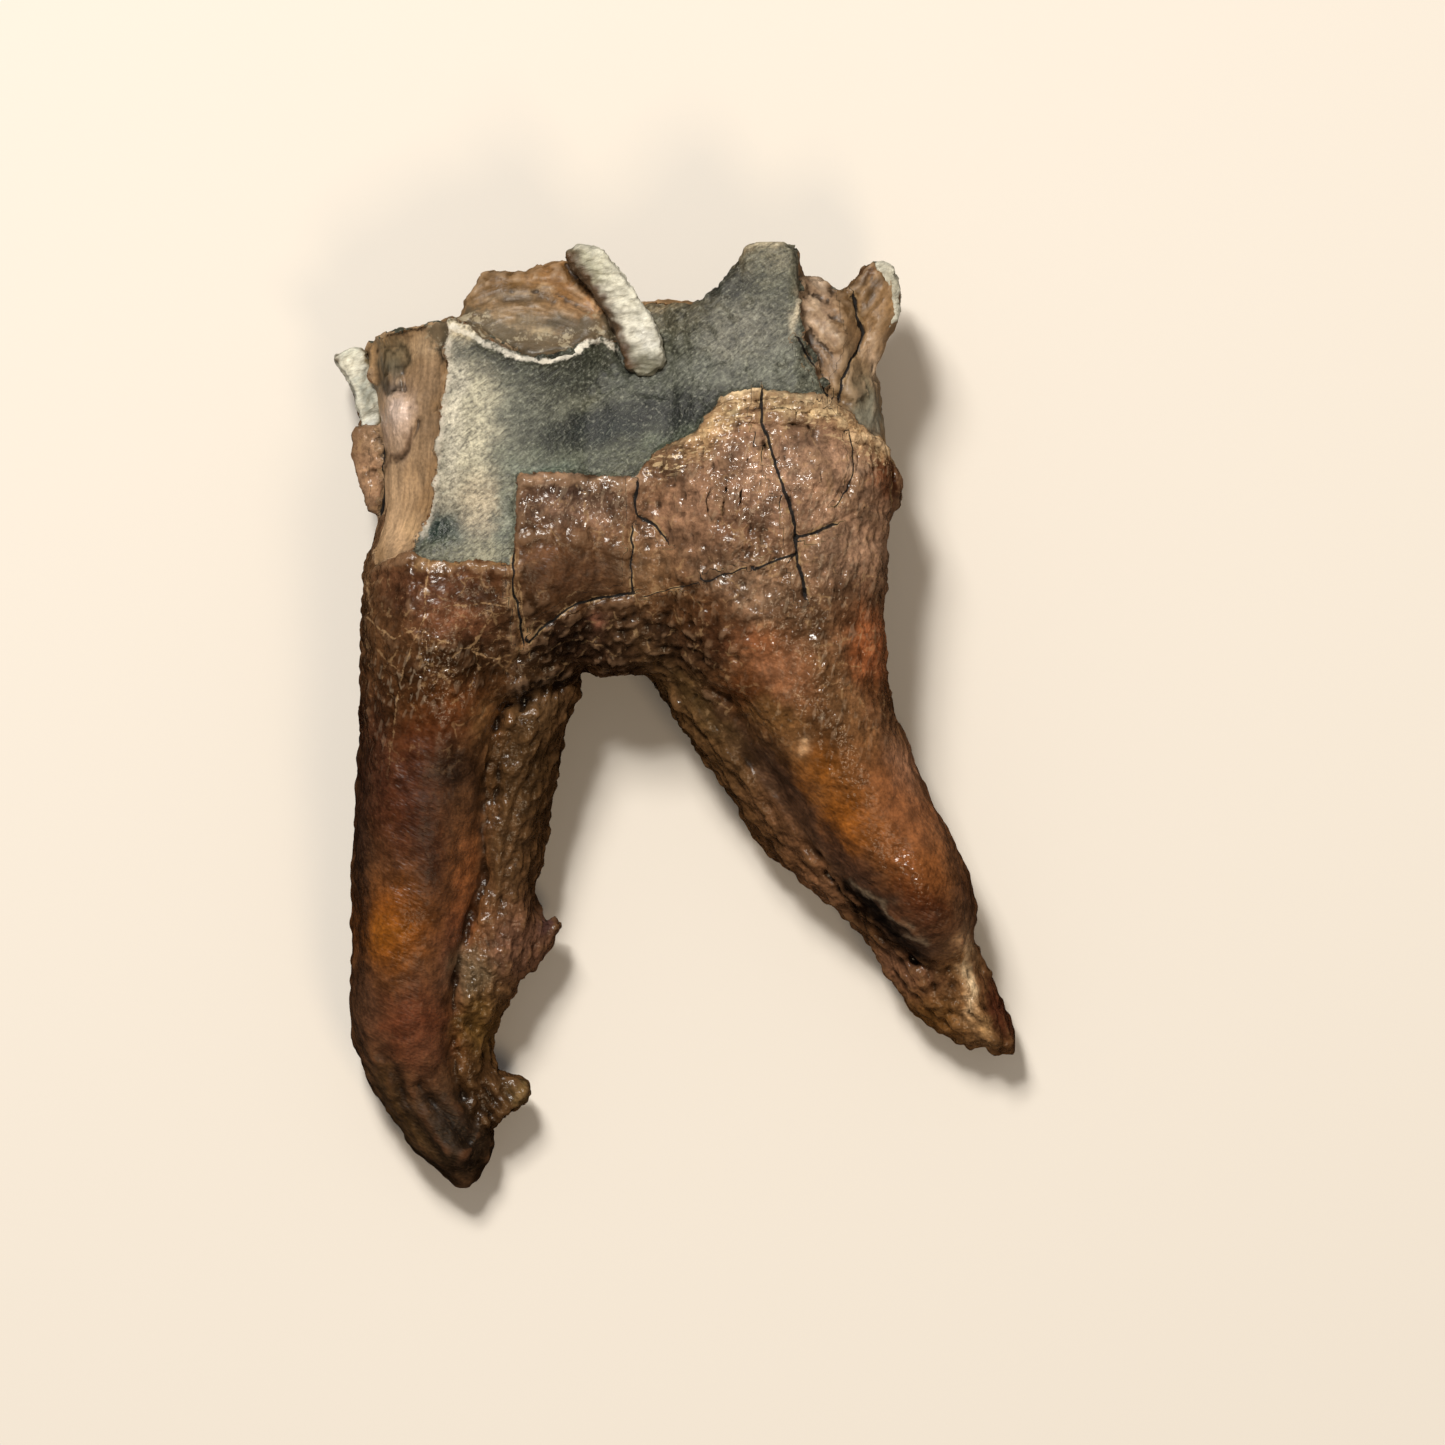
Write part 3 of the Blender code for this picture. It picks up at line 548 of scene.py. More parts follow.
# %% Ridges and grooves
FOLDS = {
    "enamel ridge": ([(450, 330), (448, 370), (442, 420), (438, 460), (434, 500), (424, 535)],
                     0.8, 0.3),
    "channel beside the ridge": ([(440, 345), (436, 400), (428, 460), (420, 515), (408, 545)],
                                 1.1, -0.7),
    "slit beside the ridge": ([(450, 323), (449, 345), (446, 358)], 0.25, -0.6),
    "step under the bulge": ([(382, 454), (393, 463), (402, 456), (415, 442), (420, 420)],
                             0.35, -0.7),
    "column's top lip": ([(370, 340), (400, 333), (446, 325)], 0.5, 0.5),
    "green spot's ledge": ([(378, 350), (392, 346), (405, 350), (406, 390)], 0.35, -0.7),
    "green spot's foot": ([(381, 384), (390, 393), (405, 391)], 0.35, -0.7),
    "green spot's edge": ([(384, 362), (392, 368), (388, 380)], 0.3, 0.5),
    "facet's edge": ([(408, 360), (430, 352), (446, 352)], 0.5, 0.35),
    "neck's upper layer": ([(712, 408), (724, 401), (745, 398), (790, 398), (828, 404)],
                           0.3, 0.4),
    "neck's middle layer": ([(703, 426), (722, 411), (750, 407), (795, 409), (835, 416),
                             (858, 434)], 0.28, 0.35),
    "neck's lower layer": ([(745, 419), (790, 421), (836, 428), (860, 441), (886, 446)],
                           0.32, 0.4),
    "gap under the layers": ([(750, 425), (795, 428), (838, 436), (862, 450)], 0.3, -0.35),
    "bright wrinkle": ([(724, 462), (720, 485), (717, 512)], 0.45, 0.6),
    "second wrinkle": ([(742, 445), (736, 480), (731, 515)], 0.4, 0.35),
    "third wrinkle": ([(771, 440), (775, 470), (780, 505)], 0.4, 0.35),
    "fourth wrinkle": ([(757, 436), (754, 470), (748, 500), (741, 540)], 0.35, 0.4),
    "crossing wrinkle": ([(800, 452), (818, 462), (826, 480), (815, 500)], 0.4, 0.45),
    "second crossing wrinkle": ([(862, 452), (856, 475), (848, 500)], 0.45, 0.5),
    "third crossing wrinkle": ([(838, 500), (860, 515), (880, 522)], 0.4, 0.4),
    "ledge of the neck": ([(700, 575), (735, 566), (780, 560), (830, 562)], 0.4, 0.35),
    "layer over the block": ([(520, 483), (560, 482), (600, 485), (634, 487)], 0.3, 0.25),
    "block's lower crumbs": ([(522, 540), (548, 538), (580, 541), (604, 548), (628, 552)],
                             0.5, 0.3),
    "lip under the curved crack": ([(530, 648), (559, 621), (590, 606), (630, 601)], 0.35, 0.35),
    "arch's lip": ([(513, 690), (537, 678), (567, 667), (585, 670), (618, 662), (640, 664),
                    (664, 680)], 0.8, 0.9),
    "shadow under the lip": ([(508, 704), (536, 695), (566, 684), (580, 688)], 0.9, -1.6),
    "fold of the left root": ([(514, 592), (522, 641), (508, 669), (503, 701), (494, 728),
                               (479, 765), (483, 790), (485, 837), (477, 892), (464, 932),
                               (456, 967), (450, 1008), (449, 1046), (453, 1077), (462, 1100)],
                              0.7, -0.9),
    "hollow of the left root": ([(500, 720), (497, 800), (489, 880), (474, 950), (464, 1010),
                                 (462, 1060)], 1.6, -0.7),
    "tip's outer rim": ([(362, 1030), (376, 1073), (393, 1108), (418, 1149), (443, 1174)],
                        0.9, 0.5),
    "tip's outer channel": ([(381, 1055), (394, 1079), (404, 1104), (419, 1138), (436, 1158)],
                            0.8, -0.7),
    "tip's middle hump": ([(407, 1112), (426, 1131), (440, 1146)], 1.0, 0.7),
    "tip's inner channel": ([(418, 1088), (439, 1114), (459, 1137), (472, 1150)], 0.7, -0.8),
    "tip's last hump": ([(443, 1156), (458, 1162)], 1.1, 0.8),
    "tip's right rim": ([(484, 1122), (478, 1138), (470, 1152)], 0.5, 0.6),
    "hook's bead": ([(518, 1094), (521, 1101)], 0.9, 0.3),
    "hook's furrow": ([(484, 1094), (498, 1100), (508, 1103)], 0.5, -0.3),
    "spur's facet": ([(545, 930), (552, 945)], 0.8, -0.5),
    "groove of the right root": ([(836, 876), (853, 893), (879, 923), (917, 958)], 1.1, -2.0),
    "rim over the groove": ([(846, 877), (880, 907), (921, 938)], 0.4, 0.5),
    "rim under the groove": ([(828, 893), (855, 920), (880, 955)], 0.8, 0.6),
    "fold of the right root": ([(668, 676), (700, 700), (750, 760), (782, 800), (835, 868)],
                               1.0, -0.9),
    "second fold of the right root": ([(700, 650), (735, 700), (770, 745), (800, 800),
                                       (850, 862)], 1.2, -0.5),
    "tip's crest": ([(966, 942), (969, 990), (983, 1018), (999, 1042)], 0.6, 1.1),
    "tip's lump": ([(900, 975), (920, 985)], 1.8, 0.8),
    "tip's facet": ([(925, 1010), (955, 1025)], 2.0, -0.6),
    "bead beside the arch": ([(671, 700), (677, 708)], 0.8, 0.9),
    "swelling of the right edge": ([(868, 640), (874, 665)], 1.4, 0.6),
    "furrow of the right edge": ([(884, 686), (866, 690)], 0.8, -0.6),
    "hollow of the horn": ([(858, 300), (866, 340), (858, 375)], 0.8, -0.5),
    "edge of the horn": ([(845, 290), (852, 275), (868, 264)], 0.6, 0.6),
    "ripple of the right wall": ([(803, 318), (815, 312), (832, 330), (843, 350)], 0.45, 0.4),
    "second ripple": ([(804, 290), (822, 296), (838, 316)], 0.4, -0.4),
    "third ripple": ([(808, 340), (822, 352), (832, 378)], 0.4, 0.35),
    "shelf of the right wall": ([(801, 290), (812, 286), (820, 292)], 0.25, 0.5),
    "pillar's left edge": ([(816, 280), (818, 294), (824, 306)], 0.25, -0.5),
    "pillar's right edge": ([(829, 282), (832, 295), (828, 306)], 0.25, -0.5),
    "slanting fold": ([(801, 297), (812, 300), (824, 314), (840, 324)], 0.3, -0.5),
    "fourth ripple": ([(803, 308), (814, 307), (824, 318)], 0.25, 0.45),
    "fifth ripple": ([(808, 328), (818, 326), (828, 338), (836, 352)], 0.25, 0.45),
    "sixth ripple": ([(812, 348), (820, 350), (826, 362)], 0.25, 0.4),
    "tan block's edge": ([(866, 342), (869, 356), (870, 372), (878, 380)], 0.3, -0.6),
    "first scratch of the horn": ([(856, 296), (872, 276)], 0.2, -0.3),
    "second scratch of the horn": ([(862, 306), (880, 284)], 0.2, -0.3),
    "third scratch of the horn": ([(868, 318), (884, 298)], 0.2, -0.3),
    "arc of the left wall": ([(470, 306), (485, 294), (520, 290), (550, 293), (580, 306),
                              (596, 334)], 0.7, -0.35),
    "shelf of the left wall": ([(474, 318), (500, 309), (540, 307), (575, 314)], 0.6, 0.35),
    "rib of the left wall": ([(586, 288), (598, 300), (607, 322), (608, 336)], 0.5, 0.5),
    "enamel's broken edge": ([(453, 328), (475, 335), (488, 346), (511, 356), (534, 361),
                              (550, 362), (569, 357), (584, 347), (603, 341), (618, 349)],
                             0.45, 0.4),
    "hollow over the edge": ([(476, 326), (490, 337), (512, 346), (535, 352), (550, 353),
                              (567, 348), (582, 338)], 0.6, -0.15),
    "step left of the band": ([(566, 264), (580, 280), (597, 300), (611, 324), (621, 350),
                               (628, 372)], 0.5, -1.6),
    "step right of the band": ([(646, 322), (657, 338), (664, 354), (667, 366)], 0.3, -0.7),
}

unevenness = 0.8 + 0.5 * field(places, 2.5, 26)
fold_sway = sideways(places, (0.25, 2.4, 27))
fold_height = np.zeros(len(places))
for line, half_width, height in FOLDS.values():
    gap = line_distance(line, spots + fold_sway) / half_width
    fold_height += height * np.exp(-gap ** 2)
places[:, 2] += fold_height * unevenness * cheek_side
write_places(skin, places)
normals = read_vectors(skin.data.vertices, "normal")
print(len(FOLDS), "folds, from", fold_height.min().round(2), "to", fold_height.max().round(2), "mm")

# %% [markdown]
# ## The cement layer
# Cement is a rough skin of bone-like tissue that covered the whole neck of the tooth. It still lies
# on the enamel like a crust 0.8 mm thick, and its edge has crumbled. So everything outside the
# bare regions is raised, with a wobbling edge and a slightly higher rim.

# %% Raise the cement
CRUST = 0.8
CRUST_SLOPE = 0.5
CRUST_FOOT = -4.0
CRUST_FADE = 20.0
RIM = 0.3
RIM_MIDDLE = 0.9
RIM_HALF_WIDTH = 0.7
RIM_FOOT = 10.0

past_bare = -np.maximum(to_face, to_dentine)
wobble = fields(places, (0.4, 2.2, 1), (0.25, 0.9, 2))
crust = smooth_step((past_bare + wobble) / CRUST_SLOPE + 0.5)
crust *= smooth_step((spots[:, 1] - CRUST_FOOT) / CRUST_FADE)
rim = np.exp(-((past_bare - RIM_MIDDLE) / RIM_HALF_WIDTH) ** 2)
rim *= np.clip(field(places, 1.6, 3) + 0.3, 0.0, 1.0)
lift = (CRUST * crust + RIM * rim * (spots[:, 1] > RIM_FOOT)) * cheek_side
places += normals * lift[:, None]
print("cement stands up to", lift.max().round(2), "mm")

# %% [markdown]
# ## The way the grain runs
# Root and dentine have a grain that follows their form. A second set of coordinates follows it:
# on the roots it leans as they do, on the left column it runs beside the ridge, on the left wall
# it arches over the break, and on the right wall it slants to both sides of a crack.

# %% Coordinates along the grain
ROOT_LEAN = {
    -1: [(-56.0, 6.0), (-42.0, -4.5), (-26.0, -5.5), (-7.0, -3.5), (10.0, 0.0), (60.0, 0.0)],
    1: [(-40.0, 26.0), (-30.0, 20.0), (-21.0, 15.0), (-7.0, 7.5), (2.0, 3.0), (9.0, 0.0),
        (60.0, 0.0)]}
BETWEEN_ROOTS_X = -4.0
BREAK_TOP_X = -17.5
BREAK_BEND = 0.05
RIGHT_CRACK_X = 21.0
SLANT = math.radians(35)
SEEN_FROM = 0.35

lean = np.zeros(len(places))
for side, table in ROOT_LEAN.items():
    heights, drifts = np.array(table).T
    on_side = np.sign(spots[:, 0] - BETWEEN_ROOTS_X) == side
    lean[on_side] = np.interp(spots[on_side, 1], heights, drifts)
seen = cheek_side > SEEN_FROM
grain_place = np.stack([spots[:, 0] - lean, spots[:, 1], places[:, 2]], axis=1)
ridge_gap = line_distance(FOLDS["enamel ridge"][0], spots)
in_column = (to_column > 0) & seen
grain_place[in_column, 0] = ridge_gap[in_column]
in_left_wall = (to_left_break > 0) & seen
bend = BREAK_BEND * (spots[:, 0] - BREAK_TOP_X) ** 2
grain_place[in_left_wall, 0] = (spots[:, 1] + bend)[in_left_wall]
grain_place[in_left_wall, 1] = spots[in_left_wall, 0]
in_right_wall = (to_right_break > 0) & seen
past_crack = np.abs(spots[:, 0] - RIGHT_CRACK_X)
grain_place[in_right_wall, 0] = (past_crack * math.cos(SLANT)
                                 - spots[:, 1] * math.sin(SLANT))[in_right_wall]
grain_place[in_right_wall, 1] = (past_crack * math.sin(SLANT)
                                 + spots[:, 1] * math.cos(SLANT))[in_right_wall]
print("grain coordinates for", len(grain_place), "vertices")

# %% [markdown]
# ## Wrinkles, lumps and pits
# The cement over the right lobe is wrinkled up and down and crumpled, the root's front lobes and
# two spots of the neck are smooth as wax, and the rear lobes are fibrous like bark. One sum of
# random fields does it all, each field weighted by where its kind of surface is. A field crosses
# zero along a net of lines, so a narrow bell over its value raises a net of thin ridges.

# %% Wrinkle the cement and roughen the roots
WAXY_SPOTS = [((578, 575), (54, 24), -4), ((782, 670), (26, 24), -30)]
PEBBLED_SPOTS = [((600, 642), (70, 30), 10), ((700, 640), (40, 50), -40)]
WAXY_SHARE = 0.85
ROOT_TOP = 4.0
ROOT_FADE = 14.0
WRINKLED_MIDDLE = (9.0, 27.0)
WRINKLED_REACH = (13.0, 12.0)
NET_WIDTH = 0.13

rough = smooth_step(to_rough / 1.5 + 0.5)
waxy = np.max([spot_share(spots, *spot) for spot in WAXY_SPOTS], axis=0)
root = np.maximum(smooth_step((ROOT_TOP - spots[:, 1]) / ROOT_FADE), WAXY_SHARE * waxy)
brown = smooth_step((past_bare - 0.3) / 0.8)
neck = brown * (1.0 - root)
away = 1.0 - cheek_side
wrinkled = np.exp(-(((spots - WRINKLED_MIDDLE) / WRINKLED_REACH) ** 2).sum(axis=1))
pebbled = sum(spot_share(spots, *spot) for spot in PEBBLED_SPOTS)

upright = field(places, (1.4, 4.5, 3.0), 4)
wrinkles = 0.4 * wrinkled * neck * np.maximum(1.0 - np.abs(upright) * 1.9, -0.15)
crumpled = 0.34 * np.exp(-(field(places, (2.4, 1.8, 2.4), 36) / NET_WIDTH) ** 2)
crumpled += 0.2 * np.exp(-(field(places, (1.3, 2.2, 1.5), 37) / NET_WIDTH) ** 2)
crumpled *= neck * (0.25 + 0.75 * wrinkled)
fine_wrinkles = 0.16 * neck * (1.0 - np.abs(field(places, (0.9, 1.8, 1.2), 22)) * 1.8)
lumps = neck * fields(places, (0.24, 3.2, 5), (0.16, 1.4, 6))
pebbles = brown * pebbled * 0.32 * field(places, 1.1, 23)
smooth_lobe = root * (1.0 - rough) * fields(places, (0.25, (4.0, 9.0, 4.0), 7), (0.12, 1.6, 8))
fibrous = 0.4 * field(grain_place, (1.5, 6.0, 2.0), 9)
fibrous += 0.25 * field(grain_place, (0.8, 3.0, 1.0), 10) + 0.22 * field(places, 1.2, 29)
pores = np.clip(field(grain_place, (1.6, 3.0, 2.0), 11) - 0.35, 0.0, 1.0)
bark = rough * (fibrous - 0.35 * pores)
unseen = away * fields(places, (0.28, 3.0, 12), (0.12, 1.2, 24))
relief = wrinkles + crumpled + fine_wrinkles + lumps + pebbles + smooth_lobe + bark + unseen
places += normals * relief[:, None]
print("relief from", relief.min().round(2), "to", relief.max().round(2), "mm")

# %% [markdown]
# ## Broken faces
# Fossil dentine breaks like flint, in small tilted planes with steps between them. Voronoi cells
# give the planes: every cell tilts its own way, by a random vector taken at its middle. Without a
# seed `noise_vector` starts from the clock, and no two runs would break alike.

# %% Chip the dentine
WEDGE = [(354, 428), (381, 440), (384, 470), (381, 520), (368, 492)]
WEDGE_HEIGHT = 0.3
BROKEN_TOP = 36.0
CHIP_GAIN = 1.8
CHIP_SEED = 1
noise.seed_set(CHIP_SEED)


def chipped(places, size, seed):
    """Tilted planes with steps between them, heights about -1 to 1."""
    heights = np.zeros(len(places))
    for i, place in enumerate(places / np.asarray(size) + seed):
        middle = noise.voronoi(Vector(place))[1][0]
        heights[i] = (Vector(place) - middle).dot(noise.noise_vector(middle * 7.0)) * CHIP_GAIN
    return heights


is_break = (to_break > -0.2) & (normals[:, 2] > 0.05) & (places[:, 2] > 8.0)
chips = np.zeros(len(places))
chips[is_break] = 0.6 * chipped(places[is_break], (4.0, 6.0, 5.0), 2.0)
chips[is_break] += 0.26 * chipped(places[is_break], (1.6, 2.6, 2.0), 5.0)
chips *= smooth_step(to_break / 1.2) * np.where(to_right_break > 0, 1.2, 0.3)
on_wedge = smooth_step(inside_distance(WEDGE, spots) / 0.6 + 0.5)
chips += on_wedge * WEDGE_HEIGHT * field(places, 1.1, 25)
places[:, 2] += chips * cheek_side
is_top_edge = (normals[:, 1] > 0.1) & (spots[:, 1] > BROKEN_TOP)
jags = np.zeros(len(places))
jags[is_top_edge] = 0.4 * chipped(places[is_top_edge], 2.4, 8.0)
jags[is_top_edge] += 0.15 * field(places[is_top_edge], 0.9, 34)
places += normals * jags[:, None]
print("chipped vertices:", int(is_break.sum()), "and", int(is_top_edge.sum()), "on the top edges")

# %% [markdown]
# ## Cracks
# As the fossil dried it cracked. Every crack is a line on the picture, with its half width and
# depth in millimetres. The line wobbles a little, because a crack follows the grain. The stored
# distance is counted in half widths and changes sign across the line, so the material can draw
# it finer than the mesh. Healed cracks are only coloured lines, and have no depth.

# %% Cut the cracks
CRACKS = [
    ([(762, 394), (761, 410), (762, 427), (769, 445), (775, 468), (785, 494), (791, 515),
      (795, 536), (796, 559), (801, 575), (805, 596)], 0.17, 0.8),
    ([(795, 537), (814, 533), (833, 526)], 0.16, 0.7),
    ([(795, 555), (775, 562), (754, 571)], 0.13, 0.6),
    ([(754, 567), (735, 572), (716, 578), (706, 582), (700, 576)], 0.09, 0.4),
    ([(637, 483), (636, 500), (637, 515), (656, 528), (667, 541)], 0.13, 0.6),
    ([(633, 528), (632, 550), (632, 572), (632, 594)], 0.1, 0.4),
    ([(632, 594), (618, 596), (600, 599), (580, 603), (562, 614), (545, 626), (529, 643)],
     0.13, 0.6),
    ([(514, 556), (514, 590), (520, 612), (523, 643)], 0.12, 0.45),
    ([(849, 434), (852, 452), (852, 475), (846, 492), (835, 508)], 0.08, 0.35),
    ([(798, 341), (806, 356), (818, 372), (827, 398)], 0.12, 0.8),
    ([(852, 297), (855, 315), (863, 333)], 0.2, 1.0),
    ([(863, 333), (857, 348), (850, 362), (842, 380), (838, 402)], 0.14, 0.9),
    ([(383, 452), (386, 478), (384, 500), (381, 514)], 0.2, 1.2),
    ([(644, 596), (700, 583)], 0.06, 0.3)]
HEALED = [
    [(440, 608), (462, 607), (480, 604), (515, 607)], [(431, 559), (428, 590), (425, 620),
     (412, 650), (404, 672), (399, 700), (392, 740), (388, 776), (400, 803), (416, 822)],
    [(421, 628), (440, 640), (466, 649), (490, 658), (513, 663)],
    [(350, 600), (372, 622), (395, 640), (412, 632)], [(470, 650), (484, 630), (492, 616)],
    [(508, 566), (509, 585), (512, 612)], [(518, 560), (521, 590), (527, 640)],
    [(862, 575), (880, 578), (893, 577)], [(365, 580), (372, 610)]]

FAR = 9.0
MESH_BLUR = 0.12

swayed = spots + sideways(places, (0.16, 1.8, 14), (0.08, 0.8, 32))
to_crack = np.full(len(places), FAR)
for line, half_width, depth in CRACKS:
    gap = signed_line_distance(line, swayed)
    places[:, 2] -= depth * np.exp(-(gap / (half_width + MESH_BLUR)) ** 2) * cheek_side
    to_crack = np.where(np.abs(gap) < half_width * np.abs(to_crack), gap / half_width, to_crack)
to_healed = np.full(len(places), FAR)
for line in HEALED:
    gap = signed_line_distance(line, swayed)
    to_healed = np.where(np.abs(gap) < np.abs(to_healed), gap, to_healed)
print(len(CRACKS), "cracks and", len(HEALED), "healed lines")

# %% [markdown]
# ## Keep to the solid
# The finished skin may not grow past the solid that it stands for, and has to rest on the same
# level patches, so it is held inside the solid's box.

# %% Hold the skin inside the solid's box
INSET = 0.02
inner_low = np.array(low) / MM + np.array([INSET, INSET, 0.0])
inner_high = np.array(high) / MM - INSET
places = np.clip(places, inner_low, inner_high)
write_places(skin, places)
normals = read_vectors(skin.data.vertices, "normal")
print("finished skin spans", places.min(axis=0).round(2), "to", places.max(axis=0).round(2))

# %% [markdown]
# ## High and low places
# Hollows are darkened with painted shade, and edges wear pale. How far a vertex stands above its
# neighbourhood is found by smoothing a copy of the places over the mesh's edges and taking the
# difference.

# %% Measure high and low
NEIGHBOUR_ROUNDS = 14


def smoothed(values, edges, rounds):
    """Values blended half and half with the mean of their neighbours, again and again."""
    count = np.bincount(edges.ravel(), minlength=len(values))[:, None]
    for _ in range(rounds):
        total = np.zeros_like(values)
        for a, b in ((0, 1), (1, 0)):
            for axis in range(values.shape[1]):
                total[:, axis] += np.bincount(
                    edges[:, a], weights=values[edges[:, b], axis], minlength=len(values))
        values = 0.5 * values + 0.5 * total / count
    return values


edges = np.empty(len(skin.data.edges) * 2, int)
skin.data.edges.foreach_get("vertices", edges)
edges = edges.reshape(-1, 2)
highness = np.sum((places - smoothed(places, edges, NEIGHBOUR_ROUNDS)) * normals, axis=1)
print("highness", np.percentile(highness, [2, 50, 98]).round(3), "mm")

# %% [markdown]
# ## Which tissue shows where
# On the cheek side the outlines say it. On the sides nobody photographed, the rule is a plain one:
# cement below the neck, bare enamel above it, and dentine on the broken top with an enamel
# ribbon round its edge, as on every rhino molar.

# %% Tissue distances for the whole skin
NECK_HEIGHT = 24.0
RIBBON = 2.2
WALL_LEVEL = 43.0
VALLEY_LEVEL = 48.0
SPIRE_X = 8.4
SPIRE_HALF_WIDTH = 6.1
SPIRE_FOOT = 44.0
SPIRE_BACK = 22.5


def slice_distance(squareness, given, height, places):
    """Rough distance inwards from a lobe's wall, on a level slice at the given height."""
    y, left, right, back, front = min(given, key=lambda row: abs(row[0] - height))
    half_wide, half_deep = (right - left) / 2, (front - back) / 2
    across = np.abs(places[:, 0] - (left + right) / 2) / half_wide
    deep = np.abs(places[:, 2] - (front + back) / 2) / half_deep
    reach = (across ** squareness + deep ** squareness) ** (1 / squareness)
    return (1.0 - reach) * min(half_wide, half_deep)


wall_depth = np.max([slice_distance(*LOBES[name], WALL_LEVEL, places)
                     for name in ("crown_left", "crown_right", "crown_web")], axis=0)
valley_gap = -np.max([slice_distance(ROUND, CARVED[name], VALLEY_LEVEL, places)
                      for name in ("left_valley", "right_valley")], axis=0)
on_top = smooth_step((normals[:, 1] - 0.35) / 0.3) * smooth_step((spots[:, 1] - BROKEN_TOP) / 3.0)
ribbon = np.minimum(wall_depth, valley_gap)
neck_wobble = fields(places, (2.0, 9.0, 16), (0.8, 3.0, 17))
above_neck = spots[:, 1] - NECK_HEIGHT + neck_wobble
unseen_enamel = np.where(on_top > 0.5, RIBBON - ribbon, above_neck)
unseen_dentine = np.where(on_top > 0.5, ribbon - RIBBON, -6.0)
enamel_distance = np.where(seen, to_face, unseen_enamel)
dentine_distance = np.where(seen, to_dentine, unseen_dentine)
broken_end = (np.abs(normals[:, 0]) > 0.5) & (spots[:, 1] > 20.0) & ~seen & (places[:, 2] > 6.0)
dentine_distance = np.where(broken_end, above_neck - 2.0, dentine_distance)
enamel_distance = np.where(broken_end, -3.0, enamel_distance)
on_spire = np.abs(spots[:, 0] - SPIRE_X) < SPIRE_HALF_WIDTH
on_spire &= (spots[:, 1] > SPIRE_FOOT) & (places[:, 2] > SPIRE_BACK)
enamel_distance = np.where(on_spire, np.maximum(enamel_distance, 0.8), enamel_distance)
dentine_distance = np.where(on_spire, -2.0, dentine_distance)
print("enamel vertices", int((enamel_distance > 0).sum()),
      "and dentine vertices", int((dentine_distance > 0).sum()))

# %% [markdown]
# ## Colours
# Colours are written as the hex values that a colour picker shows, which are sRGB, and Blender
# works with linear light, so one function turns them. The broad staining, with a few painted
# highlights and painted shades among it, is painted onto the vertices as soft spots, placed one by
# one and tuned by comparing renders with the picture: middle and reach in the picture's pixels,
# turn in degrees, colour and strength. A painted line has its points, half width, colour and
# strength. Everything finer is left to the materials.

# %% Stains of the enamel
ENAMEL_TONE = "#4a4b3e"
ENAMEL_STAINS = [
    ((476, 440), (25, 108), -5, "#bdb69e", 0.9), ((458, 400), (9, 110), -6, "#c8c1af", 0.8),
    ((520, 430), (22, 60), 0, "#7e8072", 0.7), ((478, 510), (28, 32), 0, "#b0a189", 0.8),
    ((508, 526), (10, 44), 0, "#676e62", 0.75), ((500, 352), (40, 16), -14, "#33342a", 0.97),
    ((560, 374), (60, 17), 6, "#33362d", 0.97), ((620, 366), (34, 16), 10, "#3a3c34", 0.85),
    ((545, 420), (36, 20), 0, "#42443c", 0.8), ((590, 434), (56, 20), 14, "#23271d", 0.92),
    ((608, 420), (50, 12), 20, "#101410", 0.94),
    ((634, 415), (66, 17), 16, "#0a100f", 0.98), ((690, 411), (30, 19), 30, "#080f10", 0.98),
    ((612, 428), (34, 10), 4, "#141c1a", 0.88), ((443, 536), (31, 25), -20, "#122725", 0.97),
    ((548, 362), (50, 11), 0, "#2d2f24", 0.9), ((592, 352), (22, 10), -20, "#2c2e24", 0.9),
    ((470, 350), (20, 14), 20, "#3d3e33", 0.7), ((575, 405), (34, 8), 14, "#6e6f60", 0.5),
    ((622, 396), (22, 6), 20, "#5f6156", 0.4), ((548, 470), (34, 9), 4, "#5b6a60", 0.6),
    ((560, 460), (60, 11), 0, "#565a4c", 0.6), ((668, 440), (30, 10), 20, "#4d5546", 0.6),
    ((745, 340), (44, 42), 0, "#6e6c62", 0.85),
    ((716, 296), (12, 30), -35, "#47453c", 0.8), ((735, 268), (8, 26), -32, "#403d35", 0.85),
    ((741, 283), (7, 17), -30, "#22241f", 0.9), ((722, 291), (9, 8), -20, "#2b2c26", 0.85),
    ((746, 255), (5, 12), -10, "#8a7454", 0.7), ((797, 312), (4, 18), 0, "#b8ab93", 0.8),
    ((772, 260), (30, 14), 0, "#6f6a59", 0.8), ((772, 243), (34, 5), 0, "#b5a88e", 0.9),
    ((668, 316), (34, 16), 0, "#524d3e", 0.85), ((655, 303), (30, 5), 0, "#7b6c52", 0.8),
    ((720, 375), (44, 14), 10, "#5f6157", 0.7), ((782, 372), (30, 22), 0, "#626459", 0.8),
    ((690, 372), (26, 12), 0, "#6a6c62", 0.6), ((463, 330), (16, 10), 0, "#c2b498", 0.85),
    ((480, 552), (40, 10), 0, "#8d8a74", 0.6), ((640, 385), (30, 14), 0, "#4b4e46", 0.7)]
print(len(ENAMEL_STAINS), "stains on the enamel")
